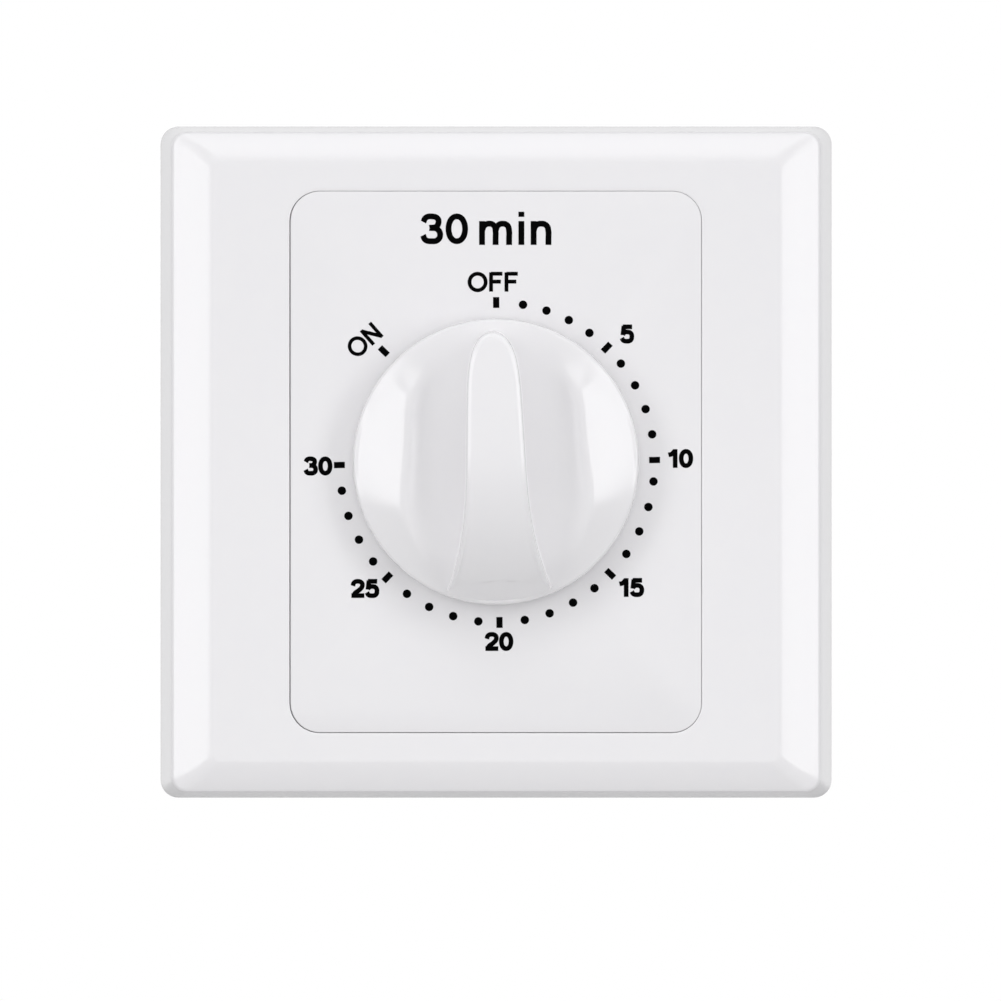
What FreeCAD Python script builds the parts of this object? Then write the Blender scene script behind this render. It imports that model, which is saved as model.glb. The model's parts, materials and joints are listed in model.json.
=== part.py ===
import FreeCAD, Part
import math
import os

# Spring-wound countdown timer switch for a standard square wall box.
# X points right, Z up and Y into the wall. The wall is the plane Y = 0, and the
# origin is the middle of the plate there, between the two mounting screws.

# Face frame: drafted wall, soft bevel, flat face
FRAME_SIDE = 86.0
FRAME_CORNER = 2.3
FRAME_BACK = -0.3
FACE = -9.0
WALL_INSET = 1.5
WALL_TOP = -6.7
BEVEL_WIDTH = 4.9
BEVEL_BULGE = 0.32
FRAME_WALL = 1.8
FRONT_WALL = 2.0

# Dial panel and the seam round it
PANEL_WIDTH = 52.2
PANEL_HEIGHT = 68.8
PANEL_CORNER = 3.7
SEAM = 0.15
PANEL_SKIRT = 1.5

# Mounting plate
BASE_SIDE = 79.6
BASE_CORNER = 2.0
BASE_THICK = 2.0
BASE_RIM = 1.6
BASE_RIM_TOP = -5.0
FIXING_PITCH = 60.3
FIXING_SLOT = (8.0, 4.6)
FIXING_SEAT = 1.6
SNAP_HALF_PITCH = 20.0
SNAP_WIDTH = 8.0
SNAP_REACH = 40.15
SNAP_CLEARANCE = 0.1

# Rear housing and the groove for its edge in the plate
BOX_SIDE = 50.0
BOX_CORNER = 3.0
BOX_WALL = 1.8
BOX_BACK = 27.0
BOX_BOSS = (20.6, 2.9)
GROOVE_DEPTH = 0.5
GROOVE_GAP = 0.1

# Knob, heights counted from the dial's face
KNOB_RADIUS = 18.15
KNOB_RIM_RADIUS = 17.65
KNOB_GAP = 0.5
KNOB_RIM_HEIGHT = 4.7
KNOB_SHOULDER = 7.2
KNOB_HEIGHT = 15.5
KNOB_CREASE = 10.6
KNOB_LEAN = -1.6

# Winding shaft
SHAFT_RADIUS = 3.0
SHAFT_FLAT = 2.3
SHAFT_FRONT = -20.6
SHAFT_BACK = 20.6
RUNNING_GAP = 0.05
PIN_SIDES = 12
DISC_SIDES = 36

# Clockwork: plates, gear train and escapement
MOVEMENT_SIDE = 44.0
MOVEMENT_CHAMFER = 10.0
MOVEMENT_SHEET = 1.0
REAR_SHEET_FRONT = 14.0
PILLARS = ((-17.5, 13.0), (17.5, 13.0), (19.3, -3.2), (-19.3, -2.4))
PILLAR_RADIUS = 1.6
ARBOR_RADIUS = 0.6
PINION_TEETH = 6
TRAIN = (
    # teeth of the wheel, module, direction of the arbor that it drives, in degrees
    (42, 0.56, -45.0),
    (36, 0.46, 200.0),
    (36, 0.40, 190.0),
)
GEAR_PLAY = 0.10
WHEEL_SHEET = 0.8
ESCAPE_TEETH = 20
ESCAPE_RADIUS = 5.0
PALLET_DISTANCE = 6.6
PALLET_DIRECTION = 150.0

# Mainspring
SPRING_INNER = 3.25
SPRING_PITCH = 2.45
SPRING_TURNS = 3.5
SPRING_STRIP = 0.35
SPRING_FRONT = 3.0
SPRING_WIDTH = 5.0

# Switch chamber
CAM_RADIUS = 8.0
CAM_FRONT = 17.3
CAM_THICK = 2.6
CONTACT_GAP = 0.8
LEAF_X = 10.0
LEAF_SHEET = 0.4
LEAF_FOOT = -12.0
LEAF_TOP = 12.6
CONTACT_Z = 10.6
TERMINAL_X = 10.0
TERMINAL_Z = -18.0
WIRE_RADIUS = 1.6

V = FreeCAD.Vector


def cylinder(radius, y_from, y_to, x=0.0, z=0.0):
    """Round bar along Y."""
    return Part.makeCylinder(radius, y_to - y_from, V(x, y_from, z), V(0, 1, 0))


def pin(radius, y_from, y_to, x=0.0, z=0.0, sides=PIN_SIDES):
    """Bar along Y with flat sides, twelve where it is thin."""
    corners = [polar_from((x, z), radius, 360.0 / sides * side) for side in range(sides)]
    return sheet(corners, y_from, y_to)


def upright_pin(radius, z_from, z_to, x, y):
    """Thin bar along Z with twelve sides."""
    bar = pin(radius, 0, z_to - z_from)
    bar.rotate(V(0, 0, 0), V(1, 0, 0), 90)
    bar.translate(V(x, y, z_from))
    return bar


def block(x_range, y_range, z_range):
    """Box between two limits on each axis."""
    size = [limits[1] - limits[0] for limits in (x_range, y_range, z_range)]
    return Part.makeBox(*size, V(x_range[0], y_range[0], z_range[0]))


def rounded_block(width, height, radius, y_from, y_to, x=0.0, z=0.0):
    """Box round the Y axis with its four long edges rounded."""
    body = block((x - width / 2, x + width / 2), (y_from, y_to), (z - height / 2, z + height / 2))
    upright = [edge for edge in body.Edges if abs(edge.tangentAt(edge.FirstParameter).y) > 0.99]
    return body.makeFillet(radius, upright)


def slot(length, width, y_from, y_to, x=0.0, z=0.0):
    """Round-ended slot along X."""
    return rounded_block(length, width, width / 2 - 0.001, y_from, y_to, x, z)


def fused(shapes):
    """One solid from shapes that touch or overlap."""
    body = shapes[0].fuse(shapes[1:])
    return body.removeSplitter()


def sheet(points, y_from, y_to):
    """Flat piece with straight edges through (x, z) points."""
    corners = [V(x, y_from, z) for x, z in points]
    outline = Part.makePolygon(corners + corners[:1])
    return Part.Face(outline).extrude(V(0, y_to - y_from, 0))


def polar(radius, degrees):
    """Point at a radius and an angle from +X towards +Z."""
    turn = math.radians(degrees)
    return radius * math.cos(turn), radius * math.sin(turn)


def polar_from(centre, radius, degrees):
    """Point at a radius and an angle from a centre."""
    x, z = polar(radius, degrees)
    return centre[0] + x, centre[1] + z


def export(name, shape):
    """Checks one piece and writes its file."""
    if not shape.isValid():
        raise ValueError(name + " is not a valid solid")
    shape.exportStep("parts/" + name + ".step")
    print(name, len(shape.Solids), round(shape.Volume, 1))


# Face frame


def edge_profile(place, half_back, half_wall, half_face, y_back, y_wall, y_face, bulge):
    """Section across the frame; place turns a distance from the middle and a depth into a point."""
    across, deep = half_wall - half_face, y_wall - y_face
    slope = math.hypot(across, deep)
    crown_half = half_face + across / 2 + bulge * deep / slope
    crown_depth = y_face + deep / 2 - bulge * across / slope
    left = Part.Arc(place(-half_wall, y_wall), place(-crown_half, crown_depth), place(-half_face, y_face))
    right = Part.Arc(place(half_face, y_face), place(crown_half, crown_depth), place(half_wall, y_wall))
    edges = [
        Part.makeLine(place(-half_back, y_back), place(-half_wall, y_wall)),
        left.toShape(),
        Part.makeLine(place(-half_face, y_face), place(half_face, y_face)),
        right.toShape(),
        Part.makeLine(place(half_wall, y_wall), place(half_back, y_back)),
        Part.makeLine(place(half_back, y_back), place(-half_back, y_back)),
    ]
    return Part.Face(Part.Wire(edges))


def mitred_square(*section):
    """The same section on all four sides, meeting on the diagonals."""
    reach = FRAME_SIDE / 2 + 1
    upright = edge_profile(lambda a, y: V(a, y, -reach), *section).extrude(V(0, 0, 2 * reach))
    level = edge_profile(lambda a, y: V(-reach, y, a), *section).extrude(V(2 * reach, 0, 0))
    return upright.common(level)


def face_frame():
    """Hollow snap-on frame with a window for the dial panel."""
    half_back = FRAME_SIDE / 2
    half_wall = half_back - WALL_INSET
    half_face = half_wall - BEVEL_WIDTH
    outer = mitred_square(half_back, half_wall, half_face, FRAME_BACK, WALL_TOP, FACE, BEVEL_BULGE)
    outer = outer.common(rounded_block(FRAME_SIDE, FRAME_SIDE, FRAME_CORNER, FACE - 1, FRAME_BACK))
    ceiling = FACE + FRONT_WALL
    inner = mitred_square(
        half_back - FRAME_WALL,
        half_wall - FRAME_WALL,
        half_face - FRAME_WALL / 3,
        FRAME_BACK,
        WALL_TOP + 0.2,
        ceiling,
        BEVEL_BULGE / 2,
    )
    window_w, window_h = PANEL_WIDTH + 2 * SEAM, PANEL_HEIGHT + 2 * SEAM
    window_corner = PANEL_CORNER + SEAM
    lip_wall, lip_depth = 1.2, 2.2
    lip_w, lip_h = window_w + 2 * lip_wall, window_h + 2 * lip_wall
    lip = rounded_block(lip_w, lip_h, window_corner + lip_wall, ceiling, ceiling + lip_depth)
    window = rounded_block(window_w, window_h, window_corner, FACE - 1, 0)
    shell = outer.cut(inner).fuse([lip] + frame_ribs(ceiling, half_back) + frame_hooks(half_back))
    return shell.cut(window).removeSplitter()


def frame_ribs(ceiling, half_back):
    """Stiffening ribs from the window lip to the outer wall."""
    rib, rib_depth, reach = 1.0, 1.8, half_back - FRAME_WALL - 1.0
    y_range = (ceiling - 0.5, ceiling + rib_depth)
    ribs = []
    for side in (-1, 1):
        for along in (-26.0, 0.0, 26.0):
            near, far = sorted((side * (PANEL_WIDTH / 2 + 0.6), side * (reach - 1.6)))
            ribs.append(block((near, far), y_range, (along - rib / 2, along + rib / 2)))
        for along in (-14.0, 14.0):
            near, far = sorted((side * (PANEL_HEIGHT / 2 + 0.6), side * (reach - 1.6)))
            ribs.append(block((along - rib / 2, along + rib / 2), y_range, (near, far)))
    return ribs


def frame_hooks(half_back):
    """Four hooks behind the lugs of the mounting plate."""
    hook_front, hook_back, tip = -1.9, -0.8, SNAP_REACH + SNAP_CLEARANCE
    hooks = []
    for side in (-1, 1):
        for along in (-SNAP_HALF_PITCH, SNAP_HALF_PITCH):
            near, far = sorted((side * tip, side * (half_back - FRAME_WALL / 2)))
            hooks.append(
                block((along - SNAP_WIDTH / 2, along + SNAP_WIDTH / 2), (hook_front, hook_back), (near, far))
            )
    return hooks


# Dial panel

LEG_PLACES = (-18.0, 18.0)
LEG_HALF = 3.0
LEG_Z = 31.45
LEG_THICK = 1.3
BARB_REACH = 0.7
BARB_FRONT = -1.05
LEG_BACK = -0.3
SHAFT_HOLE_RADIUS = 3.6


def dial_panel():
    """Flush panel with a skirt, four snap legs and a tube round the shaft hole."""
    ceiling, foot = FACE + FRONT_WALL, -BASE_THICK
    body = rounded_block(PANEL_WIDTH, PANEL_HEIGHT, PANEL_CORNER, FACE, foot)
    inner_width, inner_height = PANEL_WIDTH - 2 * PANEL_SKIRT, PANEL_HEIGHT - 2 * PANEL_SKIRT
    hollow = rounded_block(inner_width, inner_height, PANEL_CORNER - PANEL_SKIRT, ceiling, foot + 1)
    tube_wall, rib, rib_foot = 1.4, 1.0, -4.4
    added = [pin(SHAFT_HOLE_RADIUS + tube_wall, ceiling - 0.5, foot - 1.4)]
    for z in (-18.0, 18.0):
        x_range = (-inner_width / 2 - 0.3, inner_width / 2 + 0.3)
        added.append(block(x_range, (ceiling - 0.5, rib_foot), (z - rib / 2, z + rib / 2)))
    panel = body.cut(hollow).fuse(added + panel_legs(ceiling))
    removed = [cylinder(SHAFT_HOLE_RADIUS, FACE - 1, 0)]
    head_room = 5.4
    for side in (-1, 1):
        x_range = sorted((side * (PANEL_WIDTH / 2 - PANEL_SKIRT - 0.2), side * (PANEL_WIDTH / 2 + 1)))
        removed.append(block(x_range, (-5.2, 0), (-head_room, head_room)))
    return panel.cut(removed).removeSplitter()


def panel_legs(ceiling):
    """Legs with barbs that catch in the windows of the mounting plate."""
    legs = []
    for x in LEG_PLACES:
        for side in (-1, 1):
            width = (x - LEG_HALF, x + LEG_HALF)
            near, far = side * LEG_Z, side * (LEG_Z + LEG_THICK)
            legs.append(block(width, (ceiling - 0.5, LEG_BACK), sorted((near, far))))
            legs.append(block(width, (BARB_FRONT, LEG_BACK), sorted((near, far + side * BARB_REACH))))
    return legs


def leg_windows(front):
    """Windows for the panel's legs, wider behind for the barbs."""
    gap = 0.15
    windows = []
    for x in LEG_PLACES:
        width = (x - LEG_HALF - gap, x + LEG_HALF + gap)
        for side in (-1, 1):
            near = side * (LEG_Z - 1.2)
            far = side * (LEG_Z + LEG_THICK + gap)
            barb_far = far + side * (BARB_REACH + gap)
            windows.append(block(width, (front - 1, 1), sorted((near, far))))
            windows.append(block(width, (BARB_FRONT - 0.05, 1), sorted((near, barb_far))))
    return windows


# Mounting plate

BUSH_OPENING_RADIUS = 9.0
MOVEMENT_SCREWS = ((-14.0, 13.0), (14.0, 13.0), (0.0, -17.6))


def mounting_plate():
    """Base with a stiff rim, snap lugs, two fixing slots and the seat of the clockwork."""
    front = -BASE_THICK
    body = rounded_block(BASE_SIDE, BASE_SIDE, BASE_CORNER, BASE_RIM_TOP, 0)
    inside = BASE_SIDE - 2 * BASE_RIM
    body = body.cut(block((-inside / 2, inside / 2), (BASE_RIM_TOP - 1, front), (-inside / 2, inside / 2)))
    body = body.fuse(snap_lugs() + base_ribs(front, inside) + fixing_pads(front))
    removed = [pin(BUSH_OPENING_RADIUS, front - 1, 1, sides=DISC_SIDES)]
    removed += fixing_openings(front) + leg_windows(front)
    place, _ = BOX_BOSS
    for x in (-place, place):
        for z in (-place, place):
            removed.append(pin(HOUSING_SCREW[0] + 0.2, front - 1, 1, x, z))
    removed += [pin(MOVEMENT_SCREW[0] + 0.2, front - 1, 1, x, z) for x, z in MOVEMENT_SCREWS]
    return body.cut(removed).cut(housing_groove()).removeSplitter()


def housing_groove():
    """Shallow groove in the back of the plate that the edge of the housing sits in."""
    outer, inner = BOX_SIDE + 2 * GROOVE_GAP, BOX_SIDE - 2 * BOX_WALL - 2 * GROOVE_GAP
    ring = rounded_block(outer, outer, BOX_CORNER + GROOVE_GAP, -GROOVE_DEPTH, 1)
    return ring.cut(block((-inner / 2, inner / 2), (-GROOVE_DEPTH - 1, 2), (-inner / 2, inner / 2)))


def snap_lugs():
    """Lugs on the rim that the frame's hooks reach behind."""
    lug_front, lug_back = -3.3, -2.2
    lugs = []
    for side in (-1, 1):
        for along in (-SNAP_HALF_PITCH, SNAP_HALF_PITCH):
            near, far = sorted((side * (BASE_SIDE / 2 - 1), side * SNAP_REACH))
            lugs.append(
                block((along - SNAP_WIDTH / 2, along + SNAP_WIDTH / 2), (lug_front, lug_back), (near, far))
            )
    return lugs


def base_ribs(front, inside):
    """Ribs that carry the load from the fixing screws to the rim."""
    rib, top = 1.2, -4.0
    ribs = []
    for side in (-1, 1):
        for z in (-12.0, 12.0):
            near, far = sorted((side * (PANEL_WIDTH / 2 + 0.8), side * (inside / 2 + 0.3)))
            ribs.append(block((near, far), (top, front), (z - rib / 2, z + rib / 2)))
        near, far = sorted((side * (PANEL_HEIGHT / 2 + 0.3), side * (inside / 2 + 0.3)))
        for x in (-10.0, 10.0):
            ribs.append(block((x - rib / 2, x + rib / 2), (top, front), (near, far)))
    return ribs


def fixing_pads(front):
    """Raised collars round the two fixing slots."""
    height, half_width = 0.6, 5.3
    pads = []
    for side in (-1, 1):
        x_range = sorted((side * (PANEL_WIDTH / 2 - 0.6), side * (BASE_SIDE / 2 - BASE_RIM)))
        pads.append(block(x_range, (front - height, front), (-half_width, half_width)))
    return pads


def fixing_openings(front):
    """Slots for the wall screws, each in a flat-bottomed seat for the head."""
    half_width, reach = 4.3, 4.7
    openings = []
    for side in (-1, 1):
        x = side * FIXING_PITCH / 2
        openings.append(slot(*FIXING_SLOT, front - 1, 1, x))
        x_range = (x - reach + side * 0.5, x + reach + side * 0.5)
        openings.append(block(x_range, (front - 2, -FIXING_SEAT), (-half_width, half_width)))
    return openings


# Rear housing


def rear_housing():
    """Closed box behind the plate, with corner posts and openings for wires and screws."""
    body = rounded_block(BOX_SIDE, BOX_SIDE, BOX_CORNER, -GROOVE_DEPTH, BOX_BACK)
    back_edges = [edge for edge in body.Edges if abs(edge.CenterOfMass.y - BOX_BACK) < 0.01]
    body = body.makeChamfer(0.8, back_edges)
    inside = BOX_SIDE - 2 * BOX_WALL
    inner_back = BOX_BACK - BOX_WALL
    body = body.cut(block((-inside / 2, inside / 2), (-1, inner_back), (-inside / 2, inside / 2)))
    place, half_post = BOX_BOSS
    posts, removed = [], []
    for sx in (-1, 1):
        for sz in (-1, 1):
            x_range = sorted((sx * (place - half_post), sx * (inside / 2 + 0.3)))
            z_range = sorted((sz * (place - half_post), sz * (inside / 2 + 0.3)))
            posts.append(block(x_range, (0, inner_back + 0.2), z_range))
            removed.append(pin(HOUSING_SCREW[0], -1, 9.0, sx * place, sz * place))
    for side in (-1, 1):
        x = side * TERMINAL_X
        removed.append(pin(2.5, inner_back - 1, BOX_BACK + 1, x, TERMINAL_Z))
        removed.append(upright_pin(3.1, -BOX_SIDE / 2 - 1, -inside / 2 + 1, x, TERMINAL_MIDDLE))
    return body.fuse(posts).cut(removed).removeSplitter()


# Knob


def at_height(height):
    """Depth of a height above the dial's face."""
    return FACE - height


def knob_disc():
    """Round body: drafted rim, cone above it, arched along the grip and scooped beside it."""
    rim = [
        V(0, at_height(KNOB_GAP), 0),
        V(KNOB_RADIUS, at_height(KNOB_GAP), 0),
        V(KNOB_RADIUS, at_height(KNOB_RIM_HEIGHT - 0.9), 0),
        V(KNOB_RIM_RADIUS, at_height(KNOB_RIM_HEIGHT), 0),
        V(KNOB_CREASE, at_height(KNOB_SHOULDER + 1.2), 0),
        V(0, at_height(KNOB_SHOULDER + 2.2), 0),
    ]
    dome = Part.Face(Part.makePolygon(rim + rim[:1])).revolve(V(0, 0, 0), V(0, 1, 0), 360)
    return dome.common(grip_valleys()).common(knob_arch())


def grip_valleys():
    """Long bar along Z whose top falls outwards beyond the creases and is hollow inside them."""
    edge_height, ridge_foot, valley_depth = 4.2, 3.6, 0.7
    half, reach = KNOB_RADIUS + 1, KNOB_RADIUS + 2
    middle = (ridge_foot + KNOB_CREASE) / 2

    def point(x, height):
        return V(x, at_height(height), -reach)

    def valley(side):
        ends = [(side * ridge_foot, KNOB_SHOULDER - 0.2), (side * KNOB_CREASE, KNOB_SHOULDER)]
        low = (side * middle, KNOB_SHOULDER - valley_depth)
        order = [ends[0], low, ends[1]] if side > 0 else [ends[1], low, ends[0]]
        return Part.Arc(*[point(*p) for p in order]).toShape()

    edges = [
        Part.makeLine(point(-half, 0), point(-half, edge_height)),
        Part.makeLine(point(-half, edge_height), point(-KNOB_CREASE, KNOB_SHOULDER)),
        valley(-1),
        Part.makeLine(point(-ridge_foot, KNOB_SHOULDER - 0.2), point(ridge_foot, KNOB_SHOULDER - 0.2)),
        valley(1),
        Part.makeLine(point(KNOB_CREASE, KNOB_SHOULDER), point(half, edge_height)),
        Part.makeLine(point(half, edge_height), point(half, 0)),
        Part.makeLine(point(half, 0), point(-half, 0)),
    ]
    return Part.Face(Part.Wire(edges)).extrude(V(0, 0, 2 * reach))


def knob_arch():
    """Bar along X whose top arches from the rim's height to the shoulder's."""
    reach = KNOB_RADIUS + 2
    end_height = KNOB_RIM_HEIGHT - 0.6

    def point(z, height):
        return V(-reach, at_height(height), z)

    top = Part.Arc(point(-reach, end_height), point(0, KNOB_SHOULDER + 0.3), point(reach, end_height))
    edges = [
        top.toShape(),
        Part.makeLine(point(reach, end_height), point(reach, 0)),
        Part.makeLine(point(reach, 0), point(-reach, 0)),
        Part.makeLine(point(-reach, 0), point(-reach, end_height)),
    ]
    return Part.Face(Part.Wire(edges)).extrude(V(2 * reach, 0, 0))


RIDGE_SIDE = (
    # half width and Z of the grip's outline: flared foot, waist, shoulder of the nose
    (7.4, -18.6),
    (4.6, -10.5),
    (3.5, -1.0),
    (3.4, 5.5),
    (2.95, 11.8),
    (2.05, 14.4),
)
RIDGE_NOSE = 16.1
RIDGE_NOSE_RADIUS = 2.15
CREST_DROP = 1.4
NOSE_SLOPE = 1.7


def ridge_outline(height, widen):
    """Outline of the grip at a height, wider by widen than its top, up to the shoulders of the nose."""
    side = [V(x + widen, at_height(height), z) for x, z in RIDGE_SIDE]
    mirrored = [V(-p.x, p.y, p.z) for p in side]
    edges = [
        Part.Arc(side[0], side[1], side[2]).toShape(),
        Part.Arc(side[2], side[3], side[4]).toShape(),
        Part.makeLine(side[4], side[5]),
        Part.makeLine(side[5], mirrored[5]),
        Part.makeLine(mirrored[5], mirrored[4]),
        Part.Arc(mirrored[4], mirrored[3], mirrored[2]).toShape(),
        Part.Arc(mirrored[2], mirrored[1], mirrored[0]).toShape(),
        Part.makeLine(mirrored[0], side[0]),
    ]
    return Part.Wire(edges)


def ridge_nose(top, base):
    """Round nose of the grip, leaning outwards towards the rim."""
    slope = V(0, top - base, NOSE_SLOPE)
    centre = RIDGE_NOSE - RIDGE_NOSE_RADIUS
    start = V(0, at_height(top), centre) - slope * 0.2
    return Part.makeCylinder(RIDGE_NOSE_RADIUS, slope.Length * 1.4, start, slope)


def knob_ridge():
    """Grip ridge: drafted sides, slightly arched top that falls away towards the foot."""
    draft, base = 0.55, KNOB_RIM_HEIGHT - 1.5
    top = KNOB_HEIGHT + 0.5
    sides = Part.makeLoft([ridge_outline(base, draft), ridge_outline(top, 0.0)], True, True)
    sides = sides.fuse(ridge_nose(KNOB_HEIGHT, base))
    reach = KNOB_RADIUS + 2
    level_end, foot_z, foot_height = 2.0, -18.3, 4.4
    radius_of_fall = ((level_end - foot_z) ** 2 + (KNOB_HEIGHT - foot_height) ** 2) / (
        2 * (KNOB_HEIGHT - foot_height)
    )
    half_way = math.asin((level_end - foot_z) / radius_of_fall) / 2
    middle = (
        level_end - radius_of_fall * math.sin(half_way),
        KNOB_HEIGHT - radius_of_fall * (1 - math.cos(half_way)),
    )

    def point(z, height):
        return V(-reach, at_height(height), z)

    crest_end = point(reach, KNOB_HEIGHT - CREST_DROP)
    crest_middle = point((reach + level_end) / 2, KNOB_HEIGHT - CREST_DROP / 4)
    edges = [
        Part.makeLine(point(reach, base), crest_end),
        Part.Arc(crest_end, crest_middle, point(level_end, KNOB_HEIGHT)).toShape(),
        Part.Arc(point(level_end, KNOB_HEIGHT), point(*middle), point(foot_z, foot_height)).toShape(),
        Part.makeLine(point(foot_z, foot_height), point(foot_z, base)),
        Part.makeLine(point(foot_z, base), point(reach, base)),
    ]
    side_view = Part.Face(Part.Wire(edges)).extrude(V(2 * reach, 0, 0))
    ridge = sides.common(side_view)
    return ridge.common(cylinder(KNOB_RIM_RADIUS, at_height(top), at_height(base)))


def knob():
    """Moulded knob, hollow below, with ribs and a boss for the flatted shaft."""
    solid = knob_disc().fuse(knob_ridge())
    floor, roof = at_height(KNOB_GAP), at_height(KNOB_RIM_HEIGHT - 1.7)
    boss_radius, wall = 5.6, 1.9
    hollow = cylinder(KNOB_RIM_RADIUS - wall, roof, floor + 1).cut(cylinder(boss_radius, roof - 1, floor + 2))
    rib, count = 1.2, 4
    for step in range(count):
        spoke = block((-rib / 2, rib / 2), (roof - 1, floor + 2), (0, KNOB_RADIUS))
        spoke.rotate(V(0, 0, 0), V(0, 1, 0), 360.0 / count * (step + 0.5))
        hollow = hollow.cut(spoke)
    core_half, core_roof = 1.7, at_height(KNOB_HEIGHT - 2.6)
    cores = [
        block((-core_half, core_half), (core_roof, floor + 1), (boss_radius + 0.6, 13.4)),
        block((-core_half, core_half), (core_roof + 3.4, floor + 1), (-11.4, -boss_radius - 0.6)),
    ]
    body = solid.cut([hollow] + cores + [shaft_socket(SHAFT_FRONT - 0.3, floor + 1)])
    body = body.removeSplitter()
    body.rotate(V(0, 0, 0), V(0, 1, 0), KNOB_LEAN)
    return body


def shaft_socket(y_from, y_to):
    """Flatted bore of the knob, with the pocket of the spring clip beside the flat."""
    bore = cylinder(SHAFT_RADIUS + RUNNING_GAP, y_from, y_to)
    below = block((-5, 5), (y_from - 1, y_to + 1), (-5, -SHAFT_FLAT - CLIP_SHEET - RUNNING_GAP))
    socket = bore.cut(below)
    socket.rotate(V(0, 0, 0), V(0, 1, 0), -KNOB_LEAN)
    return socket


CLIP_SHEET = 0.4


def knob_spring_clip():
    """Steel strip between the flat of the shaft and the flat of the knob's bore."""
    half_width, front, back = 1.4, SHAFT_FRONT + 0.4, SHAFT_FRONT + 9.4
    outer = -SHAFT_FLAT - CLIP_SHEET
    return block((-half_width, half_width), (front, back), (outer, -SHAFT_FLAT - 0.02))


# Winding shaft and what it carries

COLLAR = (4.4, 8.1, 8.85)
BUSH_RADIUS = 4.5


def main_shaft():
    """Winding shaft: flatted front end, collar for the great wheel, flatted rear end for the cam."""
    radius, front, back = COLLAR
    body = cylinder(SHAFT_RADIUS, SHAFT_FRONT, SHAFT_BACK).fuse(pin(radius, front, back))
    flat_depth, cam_flat_front = 11.4, CAM_FRONT - 0.75
    for y_range in ((SHAFT_FRONT - 1, SHAFT_FRONT + flat_depth), (cam_flat_front, SHAFT_BACK + 1)):
        body = body.cut(block((-5, 5), y_range, (-5, -SHAFT_FLAT)))
    return body.removeSplitter()


def front_bush():
    """Flanged brass bush, with a faceted body that can't turn in the front movement plate."""
    flange, body = (6.0, -1.4, 0.0), (BUSH_RADIUS, 0.0, 1.3)
    bush = pin(*flange).fuse(pin(*body))
    return bush.cut(cylinder(SHAFT_RADIUS + RUNNING_GAP, -3, 3)).removeSplitter()


STOP_REACH = 8.6
STOP_START = 180.0
STOP_HALF_ANGLE = 11.0


def stop_arm():
    """Sector on the shaft that turns between the two sides of the stop tab."""
    front, back, hub = 1.5, 2.3, 4.6
    wedge = sheet(sector(STOP_REACH, STOP_START, STOP_HALF_ANGLE), front, back)
    ring = pin(hub, front, back)
    return ring.fuse(wedge).cut(cylinder(SHAFT_RADIUS, front - 1, back + 1)).removeSplitter()


def sector(reach, middle, half_angle):
    """Corners of a narrow sector, from the axis out to reach."""
    return [(0.0, 0.0), polar(reach, middle - half_angle), polar(reach, middle + half_angle)]


def stop_tab():
    """Tab bent out of the front movement plate; it stops the arm at ON and at the full time."""
    # The arm turns clockwise by 270 degrees and back past OFF by 45, which leaves 45 for arm and tab.
    middle = STOP_START + 45.0 + (360.0 - 270.0 - 45.0) / 2
    half_angle = (360.0 - 270.0 - 45.0) / 2 - STOP_HALF_ANGLE - 0.5
    tab = sheet(sector(STOP_REACH, middle, half_angle), 0.5, 2.4)
    return tab.cut(cylinder(6.2, 0, 3))


# Movement plates and pillars


def movement_outline(y_from, y_to):
    """Square sheet with cut corners."""
    half, cut = MOVEMENT_SIDE / 2, MOVEMENT_CHAMFER
    points = []
    for sx, sz in ((1, 1), (-1, 1), (-1, -1), (1, -1)):
        corner = [(sx * half, sz * (half - cut)), (sx * (half - cut), sz * half)]
        points += corner if sx * sz > 0 else corner[::-1]
    return sheet(points, y_from, y_to)


def arbor_places():
    """Centres of the shaft, the three arbors of the train and the pallet arbor."""
    places = [(0.0, 0.0)]
    for teeth, module, direction in TRAIN:
        step = polar(module * (teeth + PINION_TEETH) / 2, direction)
        places.append((places[-1][0] + step[0], places[-1][1] + step[1]))
    step = polar(PALLET_DISTANCE, PALLET_DIRECTION)
    places.append((places[-1][0] + step[0], places[-1][1] + step[1]))
    return places


def pivot_holes(y_from, y_to):
    """Running holes for the four thin arbors."""
    return [pin(ARBOR_RADIUS + 2 * RUNNING_GAP, y_from, y_to, x, z) for x, z in arbor_places()[1:]]


def front_movement_plate():
    """Front sheet of the clockwork, with the stop tab and threaded screw holes."""
    body = movement_outline(0, MOVEMENT_SHEET).fuse(stop_tab())
    removed = pivot_holes(-1, 2) + [pin(BUSH_RADIUS, -1, 3)]
    removed += [pin(MOVEMENT_SCREW[0], -1, 2, x, z) for x, z in MOVEMENT_SCREWS]
    return body.cut(removed).removeSplitter()


def rear_movement_plate():
    """Rear sheet of the clockwork."""
    back = REAR_SHEET_FRONT + MOVEMENT_SHEET
    removed = pivot_holes(REAR_SHEET_FRONT - 1, back + 1)
    removed.append(cylinder(SHAFT_RADIUS + RUNNING_GAP, REAR_SHEET_FRONT - 1, back + 1))
    return movement_outline(REAR_SHEET_FRONT, back).cut(removed)


def movement_pillars():
    """Four turned pillars between the sheets."""
    posts = [pin(PILLAR_RADIUS, MOVEMENT_SHEET, REAR_SHEET_FRONT, x, z) for x, z in PILLARS]
    return Part.makeCompound(posts)


# Mainspring

SPRING_POST_RADIUS = 1.3
SPRING_TAIL = 1.6
SPRING_FACETS = 18


def mainspring():
    """Flat spiral strip from the shaft to a straight tail that hooks over the post."""
    walls = [spiral_wall(side * SPRING_STRIP / 2) for side in (-1, 1)]
    return sheet(walls[0] + walls[1][::-1], SPRING_FRONT, SPRING_FRONT + SPRING_WIDTH)


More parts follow.
